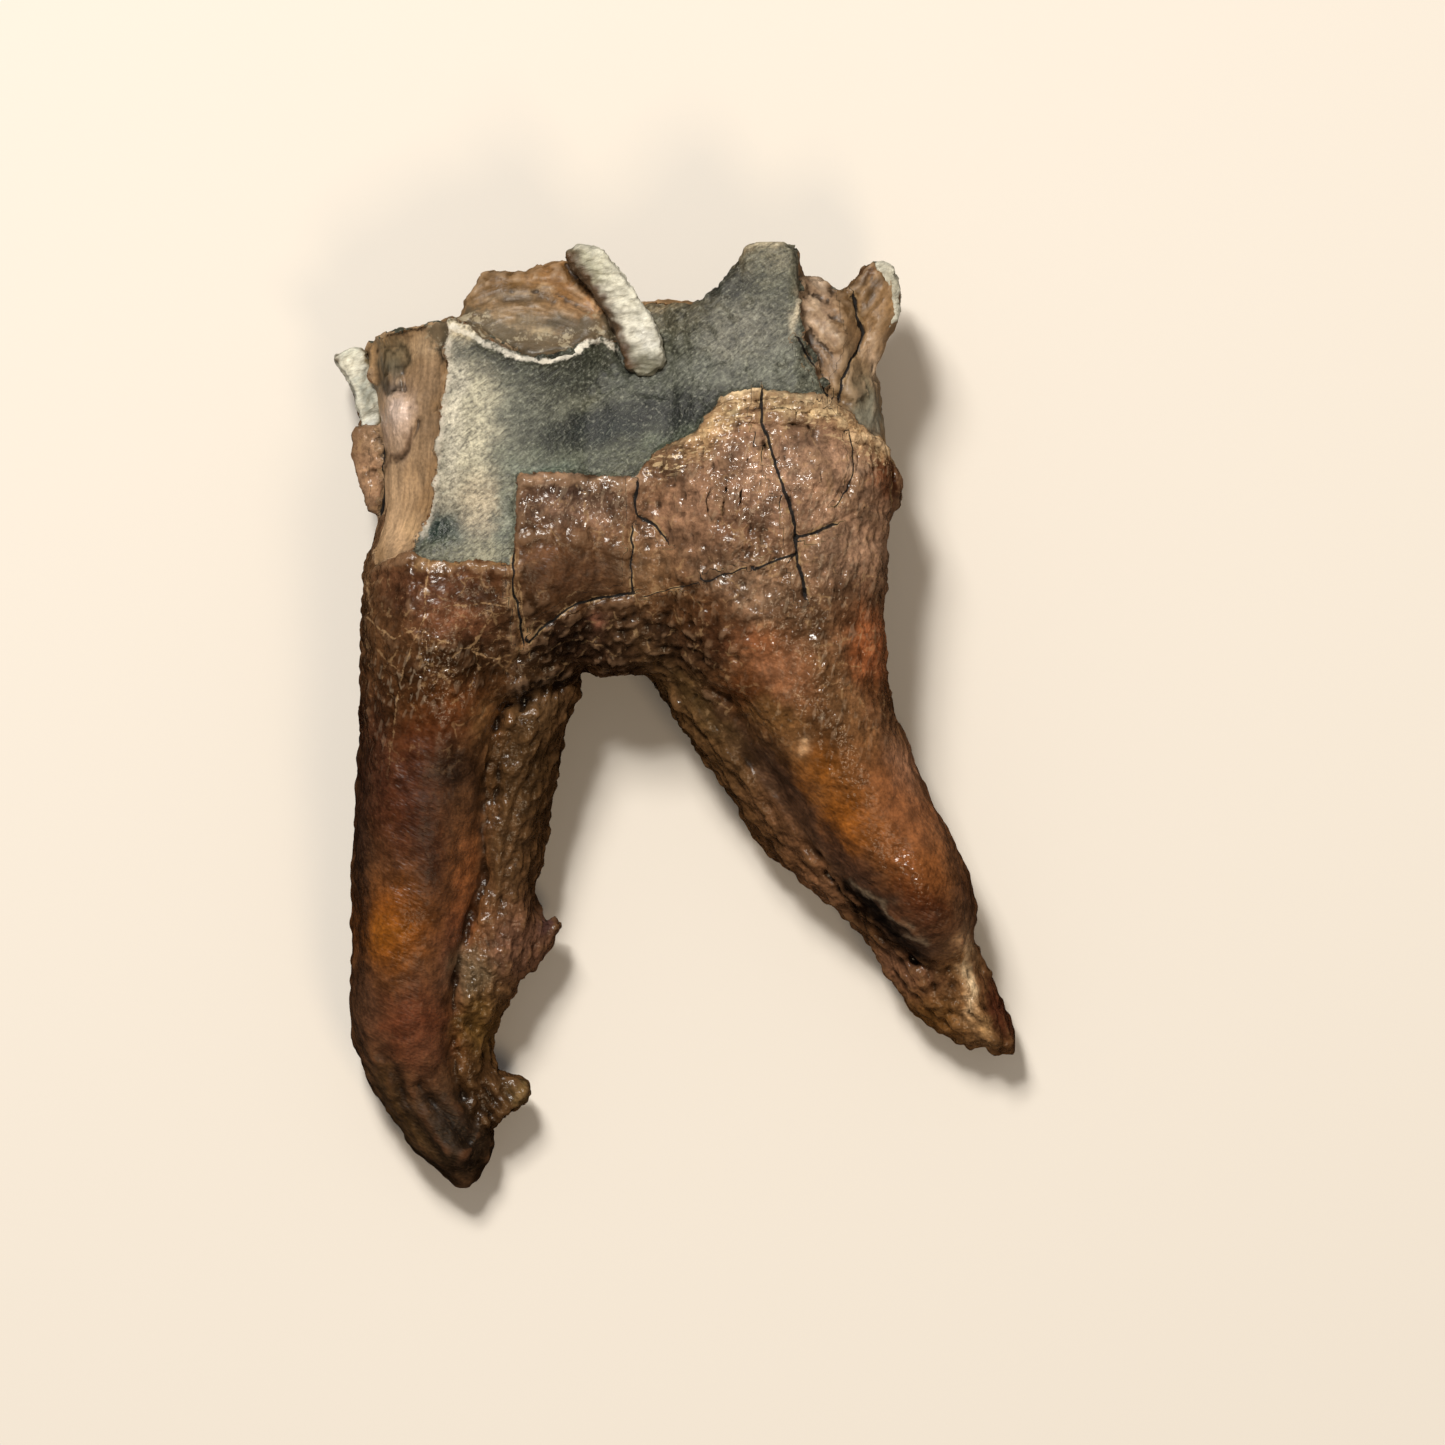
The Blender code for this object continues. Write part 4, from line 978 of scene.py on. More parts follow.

# %% [markdown]
# The brown surfaces carry most of the picture's character: rust, amber where light enters the
# root, clefts made nearly black by painted shade, and a pale golden lip where the cement ends,
# with painted highlights along its layers.

# %% Stains of the cement and the roots
BROWN_TONE = "#52371f"
BROWN_STAINS = [
    ((425, 588), (66, 28), 0, "#492b1b", 0.85),
    ((455, 622), (36, 14), 0, "#7f5036", 0.8),
    ((436, 590), (18, 20), 0, "#45291a", 0.6), ((490, 572), (24, 10), 0, "#502e1b", 0.6),
    ((362, 585), (12, 40), 0, "#664a2c", 0.7), ((470, 640), (40, 12), -10, "#442a1c", 0.6),
    ((440, 668), (56, 26), 0, "#3a2718", 0.8), ((490, 680), (34, 30), 0, "#35200e", 0.7),
    ((470, 712), (40, 26), 0, "#5e3417", 0.85), ((440, 735), (40, 26), 0, "#552a10", 0.7),
    ((410, 800), (40, 70), 0, "#431b06", 0.85), ((482, 724), (10, 22), -25, "#94673c", 0.8),
    ((393, 927), (44, 44), 0, "#743f0e", 0.95), ((385, 935), (22, 20), 0, "#8c5210", 0.6),
    ((455, 768), (22, 20), -50, "#1e0e04", 0.92), ((432, 858), (14, 36), 0, "#331605", 0.92),
    ((466, 890), (14, 60), -6, "#9a5a2c", 0.94), ((452, 955), (14, 44), -8, "#66331a", 0.8),
    ((415, 1028), (38, 40), 0, "#642f14", 0.85), ((372, 1010), (10, 40), 8, "#553420", 0.6),
    ((425, 1050), (16, 16), 0, "#6d4128", 0.6), ((455, 1150), (50, 44), 0, "#1f1305", 0.95),
    ((395, 1110), (14, 50), 32, "#46300f", 0.7), ((466, 1112), (34, 22), 0, "#1c1108", 0.8),
    ((358, 800), (9, 230), 0, "#2f1a0e", 0.85), ((376, 760), (16, 70), 0, "#3a2018", 0.6),
    ((525, 760), (40, 80), -8, "#43301c", 0.85), ((540, 712), (30, 18), 15, "#574029", 0.85),
    ((560, 790), (10, 80), -8, "#2d1e12", 0.7), ((505, 860), (30, 50), -8, "#513a24", 0.8),
    ((520, 945), (34, 30), 0, "#745240", 0.85), ((470, 975), (22, 26), 0, "#6b5a45", 0.85),
    ((475, 1030), (20, 34), 0, "#5a421f", 0.8), ((490, 1090), (34, 24), -20, "#3c2816", 0.8),
    ((519, 1098), (9, 9), 0, "#6d5a38", 0.8), ((548, 928), (10, 10), 0, "#4a3332", 0.8),
    ((575, 508), (56, 22), 0, "#775e4f", 0.8), ((560, 492), (30, 10), 0, "#3e2e2a", 0.6),
    ((575, 572), (54, 27), -4, "#482a12", 0.93), ((545, 556), (20, 10), 0, "#7c5130", 0.6),
    ((600, 640), (88, 34), -4, "#23150d", 0.95), ((650, 560), (26, 34), 0, "#745638", 0.75),
    ((690, 520), (56, 34), 0, "#84624a", 0.8), ((770, 480), (86, 60), 0, "#8a6b57", 0.85),
    ((790, 462), (46, 24), 0, "#a07f68", 0.7), ((742, 534), (30, 22), 0, "#553b2b", 0.85),
    # the pale spot at the top of the right neck, at its first entry, is a painted highlight
    ((857, 472), (9, 12), 0, "#b99c84", 0.7), ((845, 555), (28, 22), 0, "#ae8d76", 0.7),
    ((748, 600), (9, 6), 40, "#b7906c", 0.7), ((764, 622), (7, 5), 30, "#b08862", 0.7),
    ((742, 577), (8, 5), 20, "#b58e6c", 0.6), ((690, 600), (10, 6), 30, "#9a7450", 0.5),
    ((850, 545), (44, 70), 0, "#94745d", 0.8), ((888, 470), (15, 26), 0, "#693d26", 0.9),
    ((740, 590), (46, 26), -20, "#866a54", 0.8), ((700, 610), (40, 30), 0, "#4c2f19", 0.8),
    ((660, 655), (40, 30), -30, "#2b1c12", 0.85), ((780, 668), (36, 28), -30, "#8f5f40", 0.92),
    ((722, 642), (20, 20), 0, "#371f12", 0.75),
    ((760, 640), (20, 16), 0, "#6d4026", 0.7), ((745, 690), (20, 18), 0, "#5c3113", 0.8),
    ((850, 610), (36, 34), 0, "#4c3420", 0.7), ((867, 651), (17, 36), 0, "#a8623a", 0.9),
    ((868, 686), (12, 12), 0, "#4a2c14", 0.7), ((770, 715), (26, 12), -20, "#7a5630", 0.7),
    ((846, 705), (18, 54), 25, "#6d4f33", 0.6), ((903, 770), (12, 30), 25, "#a0755a", 0.8),
    ((803, 743), (5, 5), 0, "#d8b48c", 0.95), ((816, 786), (4, 4), 0, "#d0a880", 0.95),
    ((806, 770), (10, 34), 30, "#93683e", 0.7), ((602, 622), (7, 5), 0, "#8f5f4a", 0.8),
    ((815, 775), (24, 30), -40, "#7a460f", 0.8), ((850, 828), (26, 34), 38, "#8a4e0c", 0.95),
    ((905, 815), (30, 56), 30, "#8a5530", 0.85), ((915, 870), (44, 26), -40, "#7d4a24", 0.8),
    ((930, 912), (44, 22), -36, "#431c05", 0.94), ((965, 900), (10, 30), 10, "#4a2812", 0.6),
    # the two long dark strokes along the right root's fold and groove are painted shade in them
    ((765, 770), (15, 90), 40, "#35221a", 0.9), ((850, 868), (12, 60), 45, "#3a2218", 0.85),
    ((715, 745), (20, 110), 38, "#553d24", 0.9), ((700, 705), (10, 40), 40, "#5e482a", 0.6),
    ((790, 830), (18, 60), 40, "#62432c", 0.8), ((826, 896), (24, 34), 45, "#7a553a", 0.8),
    ((905, 975), (34, 26), -30, "#74503a", 0.85), ((940, 1022), (40, 22), -20, "#684622", 0.9),
    # the near-white streak on the tip's crest is a painted highlight
    ((970, 985), (14, 44), 12, "#a07040", 0.9), ((970, 982), (6, 26), 6, "#f6d8ae", 0.97),
    ((985, 1030), (7, 16), 30, "#c09a6a", 0.6), ((1002, 1010), (12, 40), 25, "#4a2416", 0.85),
    ((370, 478), (18, 50), 0, "#94745a", 0.9), ((366, 440), (12, 14), 0, "#b18f70", 0.8)]
BROWN_LINES = [
    ([(690, 452), (714, 428), (726, 410), (760, 404), (806, 405), (836, 412), (862, 436),
      (890, 446)], 10, "#a5855f", 0.8),
    ([(655, 464), (680, 455), (700, 446)], 8, "#6d543d", 0.8),
    # the pale lines along the lip's layers carry painted highlights where the layer edges face the
    # light
    ([(718, 402), (735, 398), (760, 396), (792, 398), (827, 402)], 3, "#ecd2a8", 0.95),
    ([(724, 414), (764, 407), (796, 413), (830, 411), (846, 424)], 2.5, "#e4c89c", 0.9),
    ([(656, 447), (663, 443), (698, 439), (718, 425)], 2, "#c8aa80", 0.6),
    ([(850, 441), (866, 440), (882, 443), (892, 450)], 3, "#e0c098", 0.85),
    ([(364, 475), (372, 472), (380, 474)], 2.5, "#2a190e", 0.85),
    ([(524, 480), (560, 479), (600, 480), (640, 482)], 5, "#9a7d66", 0.7),
    ([(420, 560), (450, 567), (500, 565)], 4, "#93724c", 0.6),
    ([(514, 560), (516, 600), (524, 640), (510, 668)], 4, "#8d6a48", 0.6),
    # the black line in the right root's groove is painted shade in the groove
    ([(846, 887), (885, 924), (922, 962)], 10, "#100905", 0.95),
    ([(852, 880), (884, 908), (924, 940)], 2.5, "#8d7a62", 0.6),
    # the dark line under the arch's lip and the two dark lines in the tip's channels are painted
    # shade in those recesses
    ([(516, 694), (540, 685), (566, 676), (583, 680)], 7, "#140b06", 0.9),
    ([(383, 1058), (404, 1104), (436, 1158)], 5, "#1c1006", 0.6),
    ([(420, 1092), (459, 1137), (472, 1150)], 5, "#170d05", 0.6)]
print(len(BROWN_STAINS), "stains and", len(BROWN_LINES), "lines on the brown")

# %% Stains of the dentine
DENTINE_TONE = "#8a6b48"
DENTINE_STAINS = [
    ((385, 342), (16, 10), 8, "#6d583a", 0.8), ((392, 358), (15, 16), 0, "#6f6045", 0.94),
    ((395, 372), (10, 13), 0, "#3d3f30", 0.85), ((397, 389), (13, 5), 0, "#1a1b12", 0.95),
    # the pinkish-grey bulge carries a painted sheen, and its paler centre is a painted highlight
    ((400, 426), (18, 32), 0, "#b09a8c", 0.92), ((399, 414), (8, 12), 0, "#cdbab0", 0.7),
    ((428, 400), (11, 60), -6, "#856d54", 0.85), ((428, 344), (20, 14), 8, "#ab9070", 0.85),
    ((398, 515), (18, 60), 0, "#ba9a78", 0.85), ((412, 480), (12, 50), -8, "#9d8060", 0.75),
    ((418, 535), (12, 12), 0, "#bb9a72", 0.6), ((500, 287), (44, 10), 0, "#5e431e", 0.9),
    ((520, 299), (36, 6), 0, "#4c3b24", 0.9), ((560, 280), (20, 18), 0, "#845c30", 0.8),
    ((506, 327), (22, 14), 0, "#857660", 0.92), ((560, 325), (34, 15), 0, "#4f483c", 0.92),
    ((530, 318), (14, 8), 0, "#6a5c46", 0.8), ((540, 339), (9, 9), 0, "#b8a788", 0.75),
    ((500, 338), (12, 6), -30, "#cbb896", 0.7), ((577, 304), (16, 6), 10, "#a5825e", 0.8),
    ((600, 318), (10, 26), 25, "#a87648", 0.85), ((607, 335), (9, 12), 0, "#86836f", 0.85),
    ((475, 316), (12, 16), 0, "#7b6346", 0.8), ((818, 330), (22, 56), 0, "#8a725e", 0.85),
    ((812, 286), (18, 10), 0, "#6b5440", 0.8), ((822, 284), (6, 8), 0, "#b7a28c", 0.7),
    ((808, 310), (9, 14), 0, "#a08a76", 0.7),
    ((866, 288), (15, 32), -14, "#694e2e", 0.9), ((866, 270), (10, 10), 0, "#6c4628", 0.8),
    ((858, 282), (5, 22), -30, "#4a3218", 0.7), ((845, 300), (8, 30), 0, "#5c4326", 0.7),
    ((874, 360), (8, 20), 0, "#b59a80", 0.85), ((852, 385), (12, 34), 0, "#705c44", 0.8),
    ((866, 404), (14, 26), 0, "#6a6350", 0.92), ((872, 420), (12, 16), 0, "#8d8b7c", 0.8)]
DENTINE_LINES = [
    ([(383, 350), (394, 348), (404, 351), (405, 372), (403, 390), (390, 394), (381, 382),
      (383, 350)], 2.5, "#231c0e", 0.75),
    ([(384, 368), (394, 372), (404, 368)], 2, "#231c0e", 0.6),
    ([(450, 325), (448, 345), (446, 362)], 3, "#1c150c", 0.85),
    # the dark line under the bulge is a painted shadow
    ([(383, 463), (396, 459), (408, 447), (414, 428)], 3, "#4a3424", 0.7),
    # the dark line in the step beside the white band is painted shade in that step
    ([(567, 268), (582, 290), (597, 306), (608, 322), (617, 346), (626, 366)], 3, "#1c140a", 0.9),
    ([(592, 299), (598, 318), (601, 334)], 2.5, "#cda67c", 0.8),
    ([(470, 288), (492, 276), (530, 273), (565, 277)], 3, "#4f3922", 0.5),
    ([(486, 302), (520, 291), (556, 292)], 3, "#b29a7c", 0.5),
    ([(803, 292), (814, 320), (828, 352)], 3, "#b39b80", 0.5),
    ([(804, 300), (815, 306), (826, 322), (836, 342)], 2, "#c4ac91", 0.6),
    ([(803, 312), (812, 318), (822, 334), (830, 352)], 2, "#5c4630", 0.6),
    ([(806, 322), (816, 330), (824, 346)], 2, "#bca48a", 0.5),
    ([(808, 338), (816, 350), (824, 366)], 2, "#5c4630", 0.5),
    ([(853, 302), (861, 288), (871, 272)], 1.8, "#3a2813", 0.6),
    ([(861, 314), (872, 294), (883, 280)], 1.8, "#3a2813", 0.6),
    ([(857, 306), (866, 290), (876, 275)], 1.6, "#a98a66", 0.5)]
print(len(DENTINE_STAINS), "stains and", len(DENTINE_LINES), "lines on the dentine")

# %% Paint the tissues
def linear(hex_colour):
    """A hex colour as red, green and blue in linear light."""
    channels = [int(hex_colour[i:i + 2], 16) / 255 for i in (1, 3, 5)]
    return np.array([c / 12.92 if c <= 0.04045 else ((c + 0.055) / 1.055) ** 2.4
                     for c in channels])


def paint(base, stains, lines, spots, strength):
    """The base colour, with every stain and line laid over it one after another."""
    tone = np.tile(linear(base), (len(spots), 1))
    for middle, reach, turn, colour, share in stains:
        cover = share * strength * spot_share(spots, middle, reach, turn)
        tone += cover[:, None] * (linear(colour) - tone)
    for line, width, colour, share in lines:
        gap = line_distance(line, spots) / (width / PIXELS_PER_MM)
        cover = share * strength / (1.0 + gap ** 4)
        tone += cover[:, None] * (linear(colour) - tone)
    return tone


PAINT_DEPTH_FROM = 2.0
PAINT_FACING_FROM = -0.5

drifted = spots + sideways(places, (0.7, 2.6, 18), (0.35, 0.9, 20))
painted = smooth_step((places[:, 2] - PAINT_DEPTH_FROM) / 5.0)
painted *= smooth_step((normals[:, 2] - PAINT_FACING_FROM) / 0.6)
tones = {
    "enamel_tone": paint(ENAMEL_TONE, ENAMEL_STAINS, [], drifted, painted),
    "brown_tone": paint(BROWN_TONE, BROWN_STAINS, BROWN_LINES, drifted, painted),
    "dentine_tone": paint(DENTINE_TONE, DENTINE_STAINS, DENTINE_LINES, drifted, painted),
}
print("painted", list(tones))

# %% [markdown]
# Where the varnish lies thick on wrinkled cement the surface glitters. Those places are ovals too,
# without a colour of their own; on the cement they also lay painted glints on the wrinkles' crests.

# %% Where it glitters
GLITTER = [
    ((800, 700), (40, 50), 0, 0.8), ((850, 770), (34, 50), 0, 0.8), ((885, 850), (34, 30), 0, 0.6),
    ((412, 682), (46, 30), 0, 1.0), ((378, 760), (18, 90), 0, 0.6), ((775, 632), (30, 30), -30, 1.0),
    ((850, 732), (50, 24), -35, 0.8), ((745, 480), (60, 60), 0, 0.9), ((865, 476), (36, 22), 0, 1.0),
    ((800, 560), (70, 50), 0, 0.9), ((912, 872), (50, 30), -40, 0.8), ((474, 978), (22, 36), 0, 0.9),
    ((580, 505), (60, 26), 0, 0.7), ((840, 620), (40, 50), 0, 0.8), ((440, 538), (20, 18), 0, 0.7),
    ((520, 940), (34, 30), 0, 0.7), ((535, 735), (30, 20), 0, 0.5), ((700, 590), (50, 30), 0, 0.5),
    ((390, 925), (40, 50), 0, 0.5), ((830, 500), (40, 30), 0, 1.0), ((398, 428), (14, 30), 0, 0.8),
    ((945, 1005), (40, 30), 0, 0.5), ((818, 670), (22, 34), 15, 0.95),
    ((858, 768), (16, 40), 28, 0.7), ((436, 662), (34, 26), 0, 0.95)]
glitter = np.zeros(len(places))
for middle, reach, turn, share in GLITTER:
    glitter = np.maximum(glitter, share * spot_share(drifted, middle, reach, turn))
print("glittering vertices", int((glitter > 0.4).sum()))

# %% [markdown]
# Along its upper edge the cement splits into thin level layers, pale where they broke off, with
# painted highlights on their edges and painted shade in the gaps between them.

# %% Where it is layered
LAYERED_LINE = [(655, 466), (697, 450), (714, 430), (728, 414), (760, 410), (806, 413), (836, 422),
                (862, 443), (890, 452)]
LAYERED_REACH = 2.0
layered = np.exp(-(line_distance(LAYERED_LINE, drifted) / LAYERED_REACH) ** 4)
print("layered vertices", int((layered > 0.5).sum()))

# %% [markdown]
# The materials read all this from named attributes on the mesh: colours, and distances in
# millimetres. The pale broken edge of the enamel is one more line.

# %% Store the attributes
def store(piece, name, values):
    """Keeps values for each vertex. Tells which output of an Attribute node reads them."""
    kind, key, output = "FLOAT", "value", "Fac"
    if "tone" in name:
        kind, key, output = "FLOAT_COLOR", "color", "Color"
        values = np.concatenate([values, np.ones((len(values), 1))], axis=1)
    elif values.ndim == 2:
        kind, key, output = "FLOAT_VECTOR", "vector", "Vector"
    layer = piece.data.attributes.new(name, kind, "POINT")
    layer.data.foreach_set(key, values.astype(np.float32).ravel())
    return output


hidden = FAR * (1.0 - smooth_step((cheek_side - 0.2) / 0.3))
broken_edge_gap = line_distance(FOLDS["enamel's broken edge"][0], spots + fold_sway)
measured = {
    "enamel_distance": enamel_distance, "dentine_distance": dentine_distance,
    "crack_gap": to_crack + hidden, "healed_gap": to_healed + hidden,
    "edge_gap": broken_edge_gap + hidden, "ridge_gap": ridge_gap + hidden,
    "highness": highness, "rough_lobe": np.maximum(rough, 0.5 * away),
    "root_share": root, "glitter": glitter, "layered": layered,
    "grain_place": grain_place * MM, **tones}
stored = {name: store(skin, name, values) for name, values in measured.items()}
store(skin, "smooth_normal", normals)
print("attributes:", list(stored))

# %% [markdown]
# ## Two pieces
# The fine skin is a heavy mesh, so it is cut level just above the arch into a crown and the roots.
# `bisect_plane` cuts, `holes_fill` closes each cut, and each half keeps the normals that the whole
# skin had, so that no seam shows.

# %% Cut the skin in two
SEAM_HEIGHT = 3.0
ON_THE_SEAM = 1e-7


def part_of_skin(name, side):
    """The skin above (side 1) or below (side -1) the seam, closed and with the skin's normals."""
    bm = bmesh.new()
    bm.from_mesh(skin.data)
    bmesh.ops.bisect_plane(
        bm, geom=bm.verts[:] + bm.edges[:] + bm.faces[:], dist=ON_THE_SEAM,
        plane_co=(0.0, SEAM_HEIGHT * MM, 0.0), plane_no=(0.0, -side, 0.0), clear_outer=True)
    bmesh.ops.holes_fill(bm, edges=[edge for edge in bm.edges if edge.is_boundary], sides=0)
    for face in bm.faces:
        face.smooth = True
    piece = new_piece(name, bm)
    kept = piece.data.attributes["smooth_normal"]
    kept_normals = read_vectors(kept.data, "vector").astype(np.float32)
    kept_normals /= np.linalg.norm(kept_normals, axis=1)[:, None]
    piece.data.attributes.remove(kept)
    piece.data.normals_split_custom_set_from_vertices(kept_normals.tolist())
    return piece


crown = part_of_skin("tooth_crown", 1)
roots = part_of_skin("tooth_roots", -1)
bpy.data.objects.remove(skin)
for piece in (crown, roots):
    print(piece.name, sum(len(face.vertices) - 2 for face in piece.data.polygons), "triangles")

# %% [markdown]
# ## The tooth's material
# All tissues share one skin, so they share one material with a branch for each. One helper adds a
# node, sets its properties, and fills or links its inputs. A Mix node has inputs for numbers and
# for colours side by side under the same names, so these are told apart by their places.

# %% Node helper
MATH, MIX, RANGE = "ShaderNodeMath", "ShaderNodeMix", "ShaderNodeMapRange"
VECTOR_MATH, MAPPING, NOISE = "ShaderNodeVectorMath", "ShaderNodeMapping", "ShaderNodeTexNoise"
SHADER, OUTPUT = "ShaderNodeBsdfPrincipled", "ShaderNodeOutputMaterial"
SHARE, NUMBER, OTHER_NUMBER, COLOUR, OTHER_COLOUR = 0, 2, 3, 6, 7
MIXED_COLOUR = 2


def add(tree, kind, inputs=None, output=0, **settings):
    """Adds a node. An input is given a number, a hex colour, or the socket that feeds it."""
    node = tree.nodes.new(kind)
    for name, value in settings.items():
        setattr(node, name, value)
    for name, value in (inputs or {}).items():
        if isinstance(value, bpy.types.NodeSocket):
            tree.links.new(value, node.inputs[name])
        elif isinstance(value, str):
            node.inputs[name].default_value = (*linear(value), 1.0)
        else:
            node.inputs[name].default_value = value
    return node.outputs[output] if node.outputs else node


def new_material(name):
    """A material and its node tree, with no node in it yet."""
    material = bpy.data.materials.new(name)
    material.use_nodes = True
    material.node_tree.nodes.clear()
    return material, material.node_tree


def dress(pieces, material):
    for piece in pieces:
        piece.data.materials.append(material)


fossil, tree = new_material("fossil_enamel_dentine_and_cement_varnished")
read = {"place": add(tree, "ShaderNodeTexCoord", output="Object")}
for name, output in stored.items():
    read[name] = add(tree, "ShaderNodeAttribute", output=output, attribute_name=name)
print("material started:", fossil.name)

# %% [markdown]
# ### Patterns
# Every surface detail comes from a few noise patterns. Each has a size across in millimetres of
# the real surface, a stretch along its own direction and a turn of that direction. Enamel has
# slanting fibres, dentine streaks along its grain, and the smooth roots have hair-fine wrinkles.
# Real enamel fibres are a few thousandths of a millimetre thick, far too fine to show, so what is
# drawn at 0.28 mm stands for bundles of them.

# %% Noise patterns
PATTERNS = {  # coordinates, size across in mm, stretch, turn in degrees, detail, roughness
    "crumbled_edge": ("place", 0.8, 1.0, 0, 5.0, 0.65),
    "enamel_fibre": ("place", 0.28, 3.4, 38, 4.0, 0.7),
    "enamel_speck": ("place", 0.45, 1.0, 0, 4.0, 0.65),
    "enamel_cloud": ("place", 1.5, 1.4, 24, 6.0, 0.7),
    "crumb": ("place", 0.6, 1.0, 0, 6.0, 0.72),
    "pebble": ("place", 0.42, 1.0, 0, 2.0, 0.5),
    "wet": ("place", 0.9, 1.0, 0, 1.0, 0.5),
    "wrinkle": ("place", 0.6, 3.2, 72, 1.0, 0.5),
    "layer_fibre": ("place", 0.46, 4.5, 6, 2.0, 0.6),
    "mottle": ("place", 2.0, 1.0, 0, 6.0, 0.7),
    "blotch": ("place", 5.0, 1.0, 0, 4.0, 0.6),
    "hair_wrinkle": ("place", 0.34, 2.6, -26, 1.0, 0.5),
    "root_fibre": ("grain_place", 0.5, 7.0, 90, 5.0, 0.65),
    "dentine_streak": ("grain_place", 0.6, 9.0, 90, 4.0, 0.6),
    "dentine_band": ("grain_place", 1.6, 8.0, 90, 3.0, 0.5),
}
pattern = {}
for name, (where, size, stretch, turn, detail, roughness) in PATTERNS.items():
    turned = add(tree, MAPPING, {"Vector": read[where], "Rotation": (0, 0, math.radians(turn)),
                                 "Scale": (stretch, 1.0, 1.0)}, vector_type="TEXTURE")
    pattern[name] = add(tree, NOISE, {"Vector": turned, "Scale": 1 / (size * MM),
                                      "Detail": detail, "Roughness": roughness})
pattern.update(read)
print(len(PATTERNS), "patterns")

# %% [markdown]
# The cement dried and cracked into small fields, and pale mineral filled the cracks. The borders
# of Voronoi cells draw such a net, once noise has bent them.

# %% Net of veins
CELL_SIZE = 3.2
VEIN_BEND = 1.6
BEND_SIZE = 1.8
bending = add(tree, NOISE, {"Vector": read["place"], "Scale": 1 / (BEND_SIZE * MM),
                            "Detail": 3.0}, "Color")
bent_place = add(tree, VECTOR_MATH, {0: bending, 1: (VEIN_BEND * MM,) * 3, 2: read["place"]},
                 operation="MULTIPLY_ADD")
pattern["vein_gap"] = add(tree, "ShaderNodeTexVoronoi", {
    "Vector": bent_place, "Scale": 1 / (CELL_SIZE * MM)}, feature="DISTANCE_TO_EDGE")
print("net of", CELL_SIZE, "mm cells")

# %% [markdown]
# ### Masks
# A mask turns a pattern or a stored number into a share: it is `low` up to `start`, `high` from
# `end`, and rises softly between. The borders between the tissues are masks as well, on a stored
# distance with crumbs of noise added, which makes them far finer than the mesh.

# %% Masks
for name in ("crack_gap", "healed_gap"):
    read[name] = add(tree, MATH, {0: read[name]}, operation="ABSOLUTE")
for name, source, crumbs in (("enamel_border", "enamel_distance", 1.3),
                             ("dentine_border", "dentine_distance", 1.3),
                             ("chalk_border", "edge_gap", 1.2),
                             ("ledge_border", "edge_gap", 3.0),
                             ("ridge_border", "ridge_gap", 1.8),
                             ("crack_border", "crack_gap", 1.4),
                             ("healed_border", "healed_gap", 1.0)):
    centred = add(tree, MATH, {0: pattern["crumbled_edge"], 1: 0.5}, operation="SUBTRACT")
    pattern[name] = add(tree, MATH, {0: centred, 1: crumbs, 2: read[source]},
                        operation="MULTIPLY_ADD")

